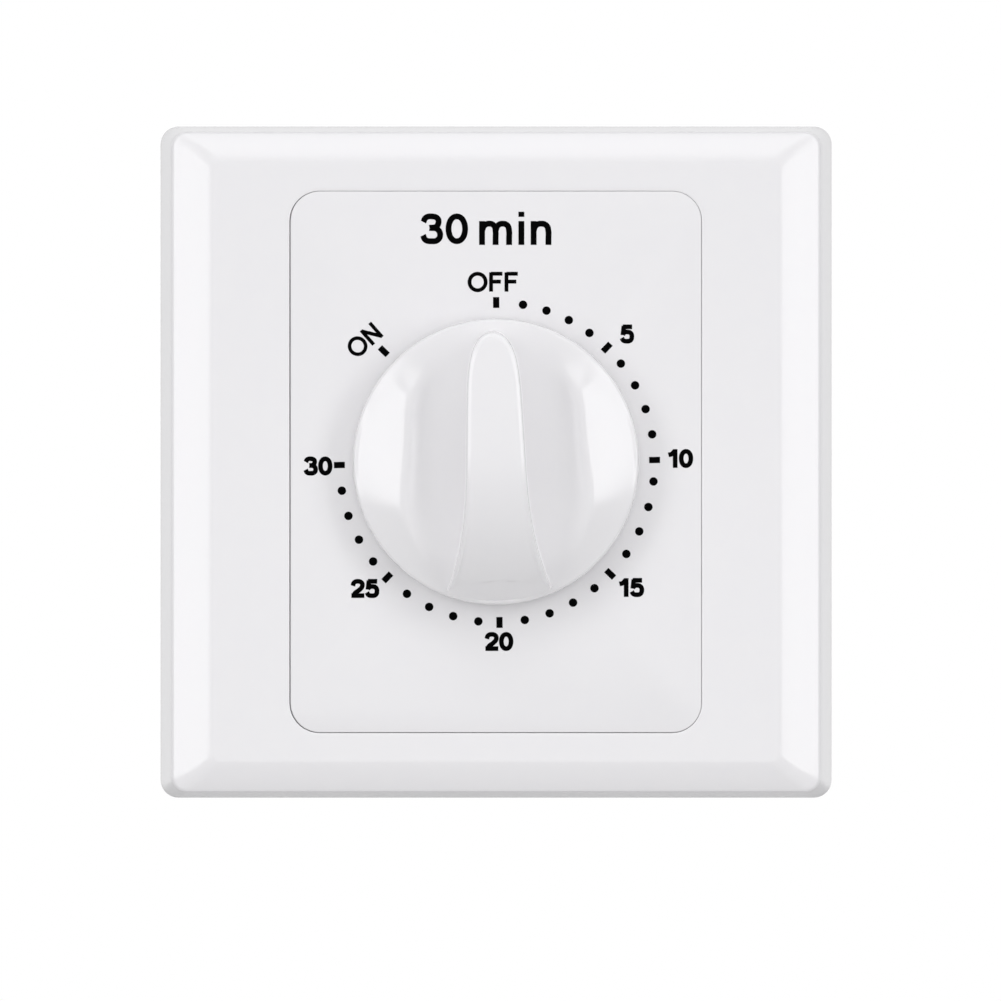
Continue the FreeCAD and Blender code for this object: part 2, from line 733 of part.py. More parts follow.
def spiral_wall(offset):
    """One side of the strip; offset is its distance from the strip's middle."""
    points = []
    for step in range(round(SPRING_TURNS * SPRING_FACETS) + 1):
        turns = step / SPRING_FACETS
        points.append(polar(SPRING_INNER + SPRING_PITCH * turns + offset, 360.0 * turns))
    end_x = points[-1][0]
    post_x, post_z = spring_post_place()
    hook = end_x - post_x
    for step in range(PIN_SIDES // 2 + 1):
        points.append(polar_from((post_x, post_z), hook, -360.0 / PIN_SIDES * step))
    return points


def spring_post_place():
    """Place of the post, beside the straight tail of the outer turn."""
    outer_turn = SPRING_INNER + SPRING_PITCH * SPRING_TURNS
    return -outer_turn - SPRING_STRIP / 2 - SPRING_POST_RADIUS, -SPRING_TAIL


def spring_post():
    """Post that the outer end of the mainspring is hooked on."""
    radius, back = SPRING_POST_RADIUS - 0.02, SPRING_FRONT + SPRING_WIDTH + 0.3
    return pin(radius, MOVEMENT_SHEET, back, *spring_post_place())


# Gear train


def gear_outline(centre, teeth, module, turn):
    """Points round a gear: straight flanks, thinned by the play, first tooth at the angle turn."""
    pitch = module * teeth / 2
    tip, root = pitch + 0.8 * module, pitch - 1.15 * module
    tooth = math.pi * module
    half_pitch_width = tooth / 4 - GEAR_PLAY / 2
    root_half = math.degrees((half_pitch_width + 0.30 * module) / pitch)
    tip_half = math.degrees((half_pitch_width - 0.42 * module) / pitch)
    corners = ((root, -root_half), (tip, -tip_half), (tip, tip_half), (root, root_half))
    points = []
    for index in range(teeth):
        middle = turn + 360.0 / teeth * index
        points += [polar_from(centre, radius, middle + offset) for radius, offset in corners]
    return points


def wheel(stage, centre, turn, y_from):
    """Toothed wheel of a stage."""
    teeth, module, _ = TRAIN[stage]
    return sheet(gear_outline(centre, teeth, module, turn), y_from, y_from + WHEEL_SHEET)


def pinion(stage, centre, turn, y_from, y_to):
    """Pinion that meshes with the wheel of a stage."""
    _, module, _ = TRAIN[stage]
    return sheet(gear_outline(centre, PINION_TEETH, module, turn), y_from, y_to)


WHEEL_FRONTS = (8.95, 11.3, 12.6)
PINION_SPANS = ((8.6, 10.2), (10.9, 12.4), (12.3, 13.6))


def mesh_turns(stage, wheel_turn):
    """Angle of the pinion's first tooth so that a gap of it faces a tooth of the wheel."""
    teeth, _, direction = TRAIN[stage]
    # the wheel's tooth nearest to the line of centres, and how far past the line it stands
    step = 360.0 / teeth
    past = (wheel_turn - direction + step / 2) % step - step / 2
    return direction + 180.0 + 180.0 / PINION_TEETH - past * teeth / PINION_TEETH


def great_wheel():
    """First wheel, loose on the shaft."""
    front = WHEEL_FRONTS[0]
    return wheel(0, (0.0, 0.0), 0.0, front).cut(cylinder(SHAFT_RADIUS + RUNNING_GAP, front - 1, front + 2))


def clutch_spring():
    """Three-armed spring washer that presses the great wheel against the collar."""
    front, back, hub, reach, half_arm, pad = 10.0, 10.35, 4.2, 7.2, 1.1, 1.4
    foot_front = WHEEL_FRONTS[0] + WHEEL_SHEET + RUNNING_GAP
    arms = []
    for step in range(3):
        arm = block((0, reach), (front, back), (-half_arm, half_arm))
        arm = arm.fuse(block((reach - pad, reach), (foot_front, back), (-half_arm, half_arm)))
        arm.rotate(V(0, 0, 0), V(0, 1, 0), 120.0 * step + 30.0)
        arms.append(arm)
    body = pin(hub, front, back).fuse(arms)
    return body.cut(cylinder(SHAFT_RADIUS, front - 1, back + 1)).removeSplitter()


def retaining_ring():
    """Snap ring behind the clutch spring."""
    front, back, reach, gap = 10.35, 10.85, 4.3, 1.2
    ring = pin(reach, front, back).cut(cylinder(SHAFT_RADIUS, front - 1, back + 1))
    return ring.cut(block((-gap, gap), (front - 1, back + 1), (0, reach + 1)))


ARBOR_SPAN = (0.15, 14.85)


def arbor(stage, wheel_turn):
    """Arbor with the pinion that the wheel of a stage drives."""
    centre = arbor_places()[stage + 1]
    bar = pin(ARBOR_RADIUS, *ARBOR_SPAN, *centre)
    leaves = pinion(stage, centre, mesh_turns(stage, wheel_turn), *PINION_SPANS[stage])
    return bar.fuse(leaves).removeSplitter()


def train_wheel(stage, turn):
    """Wheel on its arbor."""
    centre = arbor_places()[stage]
    front = WHEEL_FRONTS[stage]
    return wheel(stage, centre, turn, front).cut(pin(ARBOR_RADIUS, front - 1, front + 2, *centre))


ESCAPE_FRONT = 6.0


def escape_wheel():
    """Wheel with raked pointed teeth on the last arbor."""
    centre = arbor_places()[3]
    root = ESCAPE_RADIUS - 1.2
    corners = ((ESCAPE_RADIUS, 0.0), (ESCAPE_RADIUS, 2.0), (root, 9.0), (root, 16.0))
    points = []
    for index in range(ESCAPE_TEETH):
        start = 360.0 / ESCAPE_TEETH * index
        points += [polar_from(centre, radius, start + offset) for radius, offset in corners]
    body = sheet(points, ESCAPE_FRONT, ESCAPE_FRONT + WHEEL_SHEET)
    return body.cut(pin(ARBOR_RADIUS, ESCAPE_FRONT - 1, ESCAPE_FRONT + 2, *centre))


PALLET_FRONT = 5.8


def pallet_lever():
    """Anchor with two wedge arms that straddle the escape wheel."""
    centre = arbor_places()[4]
    back = PALLET_FRONT + 1.2
    towards = PALLET_DIRECTION + 180.0
    arms = []
    for side in (-1, 1):
        near = polar_from(centre, PALLET_ARM, towards + side * (PALLET_SPREAD - PALLET_WEDGE))
        far = polar_from(centre, PALLET_ARM, towards + side * (PALLET_SPREAD + PALLET_WEDGE))
        arms.append(sheet([centre, near, far], PALLET_FRONT, back))
    body = pin(1.6, PALLET_FRONT, back, *centre).fuse(arms)
    return body.cut(pin(ARBOR_RADIUS, PALLET_FRONT - 1, back + 1, *centre)).removeSplitter()


PALLET_ARM = 5.4
PALLET_SPREAD = 62.0
PALLET_WEDGE = 8.0


def pallet_arbor():
    """Arbor of the pallet lever and the balance bar."""
    return pin(ARBOR_RADIUS, *ARBOR_SPAN, *arbor_places()[4])


def balance_bar():
    """Bar with heavy ends that sets the beat."""
    x, z = arbor_places()[4]
    front, back, reach, half, heavy, heavy_half = 2.6, 3.6, 5.6, 0.9, 2.2, 1.7
    parts = [block((-half, half), (front, back), (-reach, reach))]
    for side in (-1, 1):
        ends = sorted((side * reach, side * (reach - heavy)))
        parts.append(block((-heavy_half, heavy_half), (front, back), ends))
    body = fused(parts)
    body.rotate(V(0, 0, 0), V(0, 1, 0), 25.0)
    body.translate(V(x, 0, z))
    return body.cut(pin(ARBOR_RADIUS, front - 1, back + 1, x, z))


# Switch chamber

TERMINAL_FRONT = 17.6
TERMINAL_BACK = 25.2
TERMINAL_MIDDLE = 21.6


def switch_cam():
    """Moulded cam: full radius all round, with the OFF notch towards the contact leaf."""
    back, notch_radius, notch_place = CAM_FRONT + CAM_THICK, 2.4, CAM_RADIUS + 0.9
    bore = cylinder(SHAFT_RADIUS, CAM_FRONT - 2, back + 2)
    bore = bore.cut(block((-5, 5), (CAM_FRONT - 3, back + 3), (-5, -SHAFT_FLAT)))
    notch = pin(notch_radius, CAM_FRONT - 1, back + 1, notch_place)
    return pin(CAM_RADIUS, CAM_FRONT, back, sides=DISC_SIDES).cut([notch, bore])


def insulator_plate():
    """Moulded plate behind the clockwork, with ribs that grip the contact strap."""
    front, back, half = 15.0, 16.4, 22.6
    body = block((-half, half), (front, back), (-half, half))
    removed = [cylinder(3.6, front - 1, back + 1)]
    place, radius = BOX_BOSS
    for sx in (-1, 1):
        for sz in (-1, 1):
            corner_x = sorted((sx * (place - radius - 0.3), sx * (half + 1)))
            corner_z = sorted((sz * (place - radius - 0.3), sz * (half + 1)))
            removed.append(block(corner_x, (front - 1, back + 1), corner_z))
    grips = []
    rib, rib_back, half_strap = 0.9, 19.6, STRAP_SHEET / 2
    for z in (-6.0, 8.0):
        for edge in (STRAP_LEFT - half_strap - rib, STRAP_LEFT + half_strap):
            grips.append(block((edge, edge + rib), (back - 0.2, rib_back), (z - 2, z + 2)))
    for edge in (STRAP_TOP - half_strap - rib, STRAP_TOP + half_strap):
        grips.append(block((-2.5, 2.5), (back - 0.2, rib_back), (edge, edge + rib)))
    return body.cut(removed).fuse(grips).removeSplitter()


STRAP_SHEET = 0.7
STRAP_LEFT = -13.4
STRAP_TOP = 15.6
STRAP_BACK = 20.3
STRAP_FRONT = 17.2


def terminal(side):
    """Brass block with a wire hole from behind and a threaded hole from below."""
    x = side * TERMINAL_X
    half_width, half_height = 3.6, 4.0
    body = block(
        (x - half_width, x + half_width),
        (TERMINAL_FRONT, TERMINAL_BACK),
        (TERMINAL_Z - half_height, TERMINAL_Z + half_height),
    )
    wire = cylinder(WIRE_RADIUS, TERMINAL_FRONT + 0.8, TERMINAL_BACK + 1, x, TERMINAL_Z)
    thread = upright_pin(TERMINAL_SCREW[0], TERMINAL_Z - half_height, TERMINAL_Z, x, TERMINAL_MIDDLE)
    return body.cut([wire, thread])


def terminal_line():
    """Right-hand terminal, with the tab that holds the foot of the moving leaf."""
    top = TERMINAL_Z + 4.0
    tab_half = 0.5
    tab_x = LEAF_X + LEAF_SHEET / 2
    x_range = (tab_x - tab_half, tab_x + tab_half)
    tab = block(x_range, (STRAP_FRONT, STRAP_BACK), (top - 0.2, LEAF_FOOT - 0.15))
    link = block(x_range, (STRAP_FRONT, TERMINAL_FRONT + 1), (top - 2, top))
    return terminal(1).fuse([tab, link]).removeSplitter()


def terminal_load():
    """Left-hand terminal."""
    return terminal(-1)


def terminal_screws():
    """Two slotted clamp screws, backed off so that a wire can go in."""
    radius, length, head_radius, head = TERMINAL_SCREW
    top = TERMINAL_Z - WIRE_RADIUS - 0.15
    half_slot, slot_depth = 0.4, 0.8
    screws = []
    for side in (-1, 1):
        x = side * TERMINAL_X
        foot = top - length - head
        shank = upright_pin(radius, foot + head, top, x, TERMINAL_MIDDLE)
        body = fused([upright_pin(head_radius, foot, foot + head, x, TERMINAL_MIDDLE), shank])
        y_range = (TERMINAL_MIDDLE - half_slot, TERMINAL_MIDDLE + half_slot)
        screws.append(body.cut(block((x - head_radius, x + head_radius), y_range, (foot, foot + slot_depth))))
    return Part.makeCompound(screws)


def moving_contact_leaf():
    """Spring strip with a nose at the cam and the contact near its free end."""
    y_range = (STRAP_FRONT, STRAP_BACK)
    left, right = LEAF_X, LEAF_X + LEAF_SHEET
    nose_reach, nose_half = LEAF_X - CAM_RADIUS - 0.2, 1.9
    outline = [
        (left, LEAF_FOOT),
        (right, LEAF_FOOT),
        (right, LEAF_TOP),
        (left, LEAF_TOP),
        (left, nose_half),
        (left - nose_reach, 0.4),
        (left - nose_reach, -0.4),
        (left, -nose_half),
    ]
    return sheet(outline, *y_range)


def contact_tip(x_from, x_to):
    """Silver button along X at the height of the contacts."""
    middle = (STRAP_FRONT + STRAP_BACK) / 2
    return Part.makeCylinder(1.5, x_to - x_from, V(x_from, middle, CONTACT_Z), V(1, 0, 0))


def moving_contact_tip():
    """Button on the moving leaf."""
    start = LEAF_X + LEAF_SHEET
    return contact_tip(start, start + 0.9)


def fixed_contact_tip():
    """Button on the fixed strap."""
    start = LEAF_X + LEAF_SHEET + 0.9 + CONTACT_GAP
    return contact_tip(start, start + 0.9)


def fixed_contact_strap():
    """Bent strap from the left terminal over the top to the fixed contact."""
    half = STRAP_SHEET / 2
    right = LEAF_X + LEAF_SHEET + 0.9 + CONTACT_GAP + 0.9 + half
    foot = TERMINAL_Z + 4.0
    y_range = (STRAP_FRONT, STRAP_BACK)
    runs = [
        block((STRAP_LEFT - half, STRAP_LEFT + half), y_range, (foot, STRAP_TOP + half)),
        block((STRAP_LEFT - half, right + half), y_range, (STRAP_TOP - half, STRAP_TOP + half)),
        block((right - half, right + half), y_range, (CONTACT_Z - 2.4, STRAP_TOP + half)),
    ]
    return fused(runs)


# Fasteners: shank radius, length under the head, head radius, head height

MOUNTING_SCREW = (2.0, 25.0, 3.9, 2.5)
HOUSING_SCREW = (1.3, 9.5, 2.6, 1.7)
MOVEMENT_SCREW = (1.5, 3.0, 2.7, 1.6)
TERMINAL_SCREW = (1.5, 3.2, 2.5, 1.4)


def plain_screw(x, z, seat, screw):
    """Small screw along Y from a seat, with a low cheese head."""
    radius, length, head_radius, head = screw
    return fused([pin(head_radius, seat - head, seat, x, z), pin(radius, seat, seat + length, x, z)])


def mounting_screws():
    """Two wall screws in the slots: pan head, plain neck in the plate, threaded length behind it."""
    radius, length, head_radius, head = MOUNTING_SCREW
    neck_radius, seat = 1.75, -FIXING_SEAT
    screws = []
    for side in (-1, 1):
        x = side * FIXING_PITCH / 2
        parts = [
            pin(head_radius, seat - head, seat, x, sides=DISC_SIDES // 2),
            pin(neck_radius, seat, 0, x),
            cylinder(radius, 0, seat + length, x),
        ]
        screws.append(fused(parts))
    return Part.makeCompound(screws)


def housing_screws():
    """Four screws through the plate into the corner posts of the housing."""
    place, _ = BOX_BOSS
    corners = [(x, z) for x in (-place, place) for z in (-place, place)]
    return Part.makeCompound([plain_screw(x, z, -BASE_THICK, HOUSING_SCREW) for x, z in corners])


def movement_screws():
    """Three screws that hold the clockwork to the plate."""
    return Part.makeCompound([plain_screw(x, z, -BASE_THICK, MOVEMENT_SCREW) for x, z in MOVEMENT_SCREWS])


PIECES = {
    "face_frame": face_frame,
    "dial_panel": dial_panel,
    "mounting_plate": mounting_plate,
    "rear_housing": rear_housing,
    "knob": knob,
    "knob_spring_clip": knob_spring_clip,
    "main_shaft": main_shaft,
    "front_bush": front_bush,
    "stop_arm": stop_arm,
    "front_movement_plate": front_movement_plate,
    "rear_movement_plate": rear_movement_plate,
    "movement_pillars": movement_pillars,
    "mainspring": mainspring,
    "spring_post": spring_post,
    "great_wheel": great_wheel,
    "clutch_spring": clutch_spring,
    "retaining_ring": retaining_ring,
    "second_arbor": lambda: arbor(0, 0.0),
    "second_wheel": lambda: train_wheel(1, 0.0),
    "third_arbor": lambda: arbor(1, 0.0),
    "third_wheel": lambda: train_wheel(2, 0.0),
    "escape_arbor": lambda: arbor(2, 0.0),
    "escape_wheel": escape_wheel,
    "pallet_arbor": pallet_arbor,
    "pallet_lever": pallet_lever,
    "balance_bar": balance_bar,
    "switch_cam": switch_cam,
    "insulator_plate": insulator_plate,
    "terminal_line": terminal_line,
    "terminal_load": terminal_load,
    "terminal_screws": terminal_screws,
    "moving_contact_leaf": moving_contact_leaf,
    "moving_contact_tip": moving_contact_tip,
    "fixed_contact_strap": fixed_contact_strap,
    "fixed_contact_tip": fixed_contact_tip,
    "mounting_screws": mounting_screws,
    "housing_screws": housing_screws,
    "movement_screws": movement_screws,
}

os.makedirs("parts", exist_ok=True)
for name, make in PIECES.items():
    export(name, make())
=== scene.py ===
import json
import math

import bmesh
import bpy
from mathutils import Matrix, Vector


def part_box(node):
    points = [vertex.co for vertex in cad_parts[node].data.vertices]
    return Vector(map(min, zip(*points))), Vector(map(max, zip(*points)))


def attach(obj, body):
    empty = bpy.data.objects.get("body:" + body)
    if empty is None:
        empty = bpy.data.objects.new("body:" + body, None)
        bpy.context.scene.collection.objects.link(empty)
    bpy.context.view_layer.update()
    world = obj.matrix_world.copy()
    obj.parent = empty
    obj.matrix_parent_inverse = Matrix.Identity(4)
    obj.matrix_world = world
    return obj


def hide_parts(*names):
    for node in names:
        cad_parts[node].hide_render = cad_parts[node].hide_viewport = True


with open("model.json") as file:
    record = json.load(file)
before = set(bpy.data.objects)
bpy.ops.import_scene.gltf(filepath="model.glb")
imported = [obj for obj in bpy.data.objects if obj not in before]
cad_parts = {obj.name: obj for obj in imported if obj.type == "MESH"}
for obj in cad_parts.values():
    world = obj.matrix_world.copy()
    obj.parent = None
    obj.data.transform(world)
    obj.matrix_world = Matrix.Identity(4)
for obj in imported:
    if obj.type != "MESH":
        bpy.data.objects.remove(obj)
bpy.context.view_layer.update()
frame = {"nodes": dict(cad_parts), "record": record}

# Studio. The switch hangs free in front of a white background, over a pale round floor that
# fades out at its rim. Two tall softboxes stand left and right, and a wide one hangs above, half
# way to the camera, which looks straight at the plate from far away, as the photograph does.
MM = 0.001


def linear(code):
    """An sRGB hex colour as linear red, green, blue and alpha."""
    parts = [int(code[i:i + 2], 16) / 255 for i in (1, 3, 5)]
    return [p / 12.92 if p <= 0.04045 else ((p + 0.055) / 1.055) ** 2.4 for p in parts] + [1.0]


def add_node(tree, kind, options=None, values=None, links=None):
    """One shader node with its options, its socket values and the links that come into it."""
    made = tree.nodes.new(kind)
    for name, value in (options or {}).items():
        setattr(made, name, value)
    for name, value in (values or {}).items():
        made.inputs[name].default_value = value
    for name, source in (links or {}).items():
        tree.links.new(source, made.inputs[name])
    return made


def new_object(name, mesh):
    """A mesh as an object in the scene, at the origin."""
    made = bpy.data.objects.new(name, mesh)
    bpy.context.collection.objects.link(made)
    return made


def finished_mesh(bm, name, smooth_angle=None):
    """The mesh of a bmesh, smooth across edges flatter than smooth_angle degrees."""
    mesh = bpy.data.meshes.new(name)
    bm.to_mesh(mesh)
    bm.free()
    if smooth_angle is not None:
        mesh.shade_smooth()
        mesh.set_sharp_from_angle(angle=math.radians(smooth_angle))
    return mesh


floor_height, floor_radius, paint_radius, fade_radius = -95 * MM, 0.45, 0.22, 0.441


def pale_floor_paint():
    """Pale matt paint, whole in the middle, faded out before the rim, and lifted for the camera."""
    material = bpy.data.materials.new("pale_floor_paint")
    material.use_nodes = True
    tree = material.node_tree
    tree.nodes.clear()
    place = add_node(tree, "ShaderNodeTexCoord")
    radius = add_node(
        tree, "ShaderNodeVectorMath", {"operation": "LENGTH"},
        links={"Vector": place.outputs["Object"]},
    )
    fade = add_node(
        tree, "ShaderNodeMapRange", {"interpolation_type": "SMOOTHSTEP"},
        {"From Min": paint_radius, "From Max": fade_radius}, {"Value": radius.outputs["Value"]},
    )
    matt = add_node(tree, "ShaderNodeBsdfDiffuse", values={"Color": linear("#F6F6F5")})
    rays = add_node(tree, "ShaderNodeLightPath")
    camera_lift = 0.34
    lift = add_node(
        tree, "ShaderNodeMath", {"operation": "MULTIPLY"}, {1: camera_lift},
        {0: rays.outputs["Is Camera Ray"]},
    )
    glow = add_node(tree, "ShaderNodeEmission", links={"Strength": lift.outputs[0]})
    paint = add_node(tree, "ShaderNodeAddShader", links={0: matt.outputs[0], 1: glow.outputs[0]})
    clear = add_node(tree, "ShaderNodeBsdfTransparent")
    mix = add_node(
        tree, "ShaderNodeMixShader",
        links={0: fade.outputs["Result"], 1: paint.outputs[0], 2: clear.outputs[0]},
    )
    add_node(tree, "ShaderNodeOutputMaterial", links={"Surface": mix.outputs[0]})
    return material


bm = bmesh.new()
bmesh.ops.create_circle(bm, cap_ends=True, segments=96, radius=floor_radius)
bmesh.ops.translate(bm, verts=bm.verts, vec=(0, 0, floor_height))
floor = new_object("floor", finished_mesh(bm, "floor"))
floor.data.materials.append(pale_floor_paint())


def white_background():
    """White as seen straight, in a gloss or through glass; an even, dimmer light for the rest."""
    world = bpy.data.worlds.new("white_background")
    world.use_nodes = True
    tree = world.node_tree
    tree.nodes.clear()
    rays = add_node(tree, "ShaderNodeLightPath")
    seen = add_node(
        tree, "ShaderNodeMath", {"operation": "MAXIMUM"},
        links={0: rays.outputs["Is Camera Ray"], 1: rays.outputs["Is Glossy Ray"]},
    )
    seen = add_node(
        tree, "ShaderNodeMath", {"operation": "MAXIMUM"},
        links={0: seen.outputs[0], 1: rays.outputs["Is Transmission Ray"]},
    )
    ambient_colour, ambient_strength, white_strength = linear("#F6F6F9"), 0.41, 1.0
    ambient = add_node(
        tree, "ShaderNodeBackground", values={"Color": ambient_colour, "Strength": ambient_strength},
    )
    white = add_node(
        tree, "ShaderNodeBackground", values={"Color": (1, 1, 1, 1), "Strength": white_strength},
    )
    mix = add_node(
        tree, "ShaderNodeMixShader",
        links={0: seen.outputs[0], 1: ambient.outputs[0], 2: white.outputs[0]},
    )
    add_node(tree, "ShaderNodeOutputWorld", links={"Surface": mix.outputs[0]})
    return world


bpy.context.scene.world = white_background()


def softbox(name, place, size, power):
    """A rectangular lamp at place that faces the middle of the plate, in metres and watts."""
    lamp = bpy.data.lights.new(name, "AREA")
    lamp.shape = "RECTANGLE"
    lamp.size, lamp.size_y = size
    lamp.energy = power
    made = bpy.data.objects.new(name, lamp)
    made.location = place
    made.rotation_euler = (-Vector(place)).to_track_quat("-Z", "Y").to_euler()
    bpy.context.collection.objects.link(made)


tall_box, wide_box = (0.34, 0.85), (0.95, 0.40)
softbox("softbox_left", place=(-0.70, -0.73, 0.20), size=tall_box, power=2.8)
softbox("softbox_right", place=(0.69, -0.74, 0.22), size=tall_box, power=2.85)
softbox("softbox_top", place=(0.0, -0.60, 0.76), size=wide_box, power=2.1)

# The picture is 1001 pixels wide, and the plate's 671 pixels are 86 mm.
picture_pixels, plate_pixels, plate_side = 1001, 671, 86 * MM
plate_middle_px = (496.1, 462.1)
pixel = plate_side / plate_pixels
picture_width = picture_pixels * pixel
camera_distance = 1.2
camera = bpy.data.cameras.new("camera")
camera.lens = camera.sensor_width * camera_distance / picture_width
camera_object = bpy.data.objects.new("camera", camera)
camera_object.location = (
    (picture_pixels / 2 - plate_middle_px[0]) * pixel,
    -camera_distance,
    (plate_middle_px[1] - picture_pixels / 2) * pixel,
)
camera_object.rotation_euler = (math.radians(90), 0, 0)
bpy.context.collection.objects.link(camera_object)
bpy.context.scene.camera = camera_object
bpy.context.scene.view_settings.view_transform = "Standard"


def seen_at(place_px, depth):
    """The x and z at a depth in millimetres that the camera sees at a pixel of the picture."""
    share = (camera_distance / MM + depth) / (camera_distance / MM) * pixel / MM
    x = camera_object.location.x / MM + (place_px[0] - picture_pixels / 2) * share
    z = camera_object.location.z / MM + (picture_pixels / 2 - place_px[1]) * share
    return x, z


# Face frame: one injection moulding in glossy white ABS that snaps over the plate. Its wall leans
# in a little, rolls over in a soft bevel and ends in a flat face round the window of the dial.
# Behind it stand stiffening ribs, a lip round the window and four snap hooks.


def new_material(name):
    """A new material, its node tree, its shader and the place on the object that patterns follow."""
    material = bpy.data.materials.new(name)
    material.use_nodes = True
    tree = material.node_tree
    place = add_node(tree, "ShaderNodeTexCoord")
    return material, tree, tree.nodes["Principled BSDF"], place.outputs["Object"]


# a Mix node's two colours and its mixed colour, which share their names with its number sockets
COLOUR_A, COLOUR_B, MIXED_COLOUR = 6, 7, 2


def white_abs():
    """Glossy white ABS from a polished mould: a clean cool white with a very faint ripple."""
    material, tree, shader, place = new_material("glossy_white_abs")
    ripple_width = 2.5 * MM
    ripple = add_node(
        tree, "ShaderNodeTexNoise", values={"Scale": 1 / ripple_width, "Detail": 2.0, "Roughness": 0.5},
        links={"Vector": place},
    )
    gloss = add_node(
        tree, "ShaderNodeMapRange", values={"To Min": 0.16, "To Max": 0.22},
        links={"Value": ripple.outputs["Fac"]},
    )
    tint = add_node(
        tree, "ShaderNodeMix", {"data_type": "RGBA"},
        {COLOUR_A: linear("#F2F1F3"), COLOUR_B: linear("#F4F3F4")}, {"Factor": ripple.outputs["Fac"]},
    )
    skin = add_node(
        tree, "ShaderNodeBump", values={"Strength": 0.06, "Distance": 0.02 * MM},
        links={"Height": ripple.outputs["Fac"]},
    )
    tree.links.new(tint.outputs[MIXED_COLOUR], shader.inputs["Base Color"])
    tree.links.new(gloss.outputs["Result"], shader.inputs["Roughness"])
    tree.links.new(skin.outputs["Normal"], shader.inputs["Normal"])
    shader.inputs["IOR"].default_value = 1.54
    return material


abs_plastic = white_abs()


def start_loop(bm, count, place):
    """A closed loop of edges with each point i at place(i)."""
    order = bm.verts.layers.int.new("order")
    points = bmesh.ops.create_circle(bm, segments=count, radius=1.0)["verts"]
    for index, point in enumerate(points):
        point[order] = index
        point.co = place(index)
    return list({edge for point in points for edge in point.link_edges})


def extend_loop(bm, edges, place):
    """The loop of edges extruded to a new one with each point i at place(i)."""
    order = bm.verts.layers.int["order"]
    made = bmesh.ops.extrude_edge_only(bm, edges=edges)["geom"]
    points = {part for part in made if isinstance(part, bmesh.types.BMVert)}
    for point in points:
        point.co = place(point[order])
    edges = [part for part in made if isinstance(part, bmesh.types.BMEdge)]
    return [edge for edge in edges if set(edge.verts) <= points]


CORNER_STEPS = 9


def rounded_rectangle(half_x, half_z, radius, depth, middle=(0, 0)):
    """place(i) for points round a rectangle with rounded corners, in millimetres."""
    def place(index):
        corner, step = divmod(index, CORNER_STEPS + 1)
        turn = math.radians(90 * corner + 90 * step / CORNER_STEPS)
        side_x = 1 if corner in (0, 3) else -1
        side_z = 1 if corner in (0, 1) else -1
        x = middle[0] + side_x * (half_x - radius) + radius * math.cos(turn)
        z = middle[1] + side_z * (half_z - radius) + radius * math.sin(turn)
        return Vector((x, depth, z)) * MM
    return place


def box_part(bm, low, high):
    """A block between two corners, in millimetres."""
    made = bmesh.ops.create_cube(bm, size=1.0)["verts"]
    size = Vector(high) - Vector(low)
    middle = (Vector(high) + Vector(low)) / 2
    bmesh.ops.scale(bm, verts=made, vec=size * MM)
    bmesh.ops.translate(bm, verts=made, vec=middle * MM)
    return made


def bezier(start, first, second, end, steps):
    """Points of a cubic curve between two points, both ends included."""
    points = []
    for step in range(steps + 1):
        t = step / steps
        weights = ((1 - t) ** 3, 3 * t * (1 - t) ** 2, 3 * t * t * (1 - t), t ** 3)
        weighted = list(zip(weights, (start, first, second, end)))
        points.append(tuple(sum(weight * point[axis] for weight, point in weighted) for axis in (0, 1)))
    return points


low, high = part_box("face_frame")
half_side, frame_back, frame_face = high.x / MM, high.y / MM, low.y / MM
panel_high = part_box("dial_panel")[1] / MM
side_seam, level_seam, corner_seam, panel_corner = 0.13, 0.065, 0.1, 3.7
window_x, window_z = panel_high.x + side_seam, panel_high.z + level_seam
window_corner, window_middle = panel_corner + corner_seam, (-0.05, -0.025)
# half width and depth of the outside: back edge, wall, the roll over its end, the bevel, the face
back_edge = (half_side - 0.02, frame_back - 0.25)
wall_end, roll_end, bevel_end = (41.5, -6.6), (40.95, -7.4), (36.0, frame_face)
face_start = (bevel_end[0] - 0.3, frame_face)
profile = [(half_side, frame_back), back_edge]
profile += bezier(wall_end, (41.42, -7.05), (41.27, -7.3), roll_end, 6)
profile += bezier(roll_end, (39.15, -7.97), (36.35, frame_face), bevel_end, 16)[1:]
profile += [face_start]
frame_corner, bevel_corner = 2.3, 1.2
# the wall and the bevel are this much narrower above and below than at the sides
wall_narrower, bevel_narrower = 0.6, 2.1
bm = bmesh.new()
points_round = 4 * (CORNER_STEPS + 1)
loop = start_loop(bm, points_round, rounded_rectangle(half_side, half_side, frame_corner, frame_back))
rim = loop
for half, depth in profile[1:]:
    inset, widest_inset = half_side - half, half_side - bevel_end[0]
    corner = frame_corner - (frame_corner - bevel_corner) * inset / widest_inset
    if half > wall_end[0]:
        taller = wall_narrower * inset / (half_side - wall_end[0])
    else:
        outward = (half - bevel_end[0]) / (wall_end[0] - bevel_end[0])
        taller = bevel_narrower + (wall_narrower - bevel_narrower) * outward ** 2
    loop = extend_loop(bm, loop, rounded_rectangle(half, half + taller, corner, depth))
# the window's rounded edge, as distances out from the window and back from the face; the middle
# of a quarter round lies 0.3 of its radius from both
flat_ring, edge_round, round_middle = 0.5, 0.15, 0.3
window_edge = [
    (edge_round + flat_ring, 0.0),
    (edge_round, 0.0),
    (edge_round * round_middle, edge_round * round_middle),
    (0.0, edge_round),
]
for out, back in window_edge:
    size = (window_x + out, window_z + out, window_corner + out)
    loop = extend_loop(bm, loop, rounded_rectangle(*size, frame_face + back, window_middle))
lip_wall, lip_back, ceiling = 1.2, frame_face + 4.2, frame_face + 2.0
window = (window_x, window_z, window_corner)
lip = (window_x + lip_wall, window_z + lip_wall, window_corner + lip_wall)
loop = extend_loop(bm, loop, rounded_rectangle(*window, lip_back, window_middle))
loop = extend_loop(bm, loop, rounded_rectangle(*lip, lip_back))
loop = extend_loop(bm, loop, rounded_rectangle(*lip, ceiling))
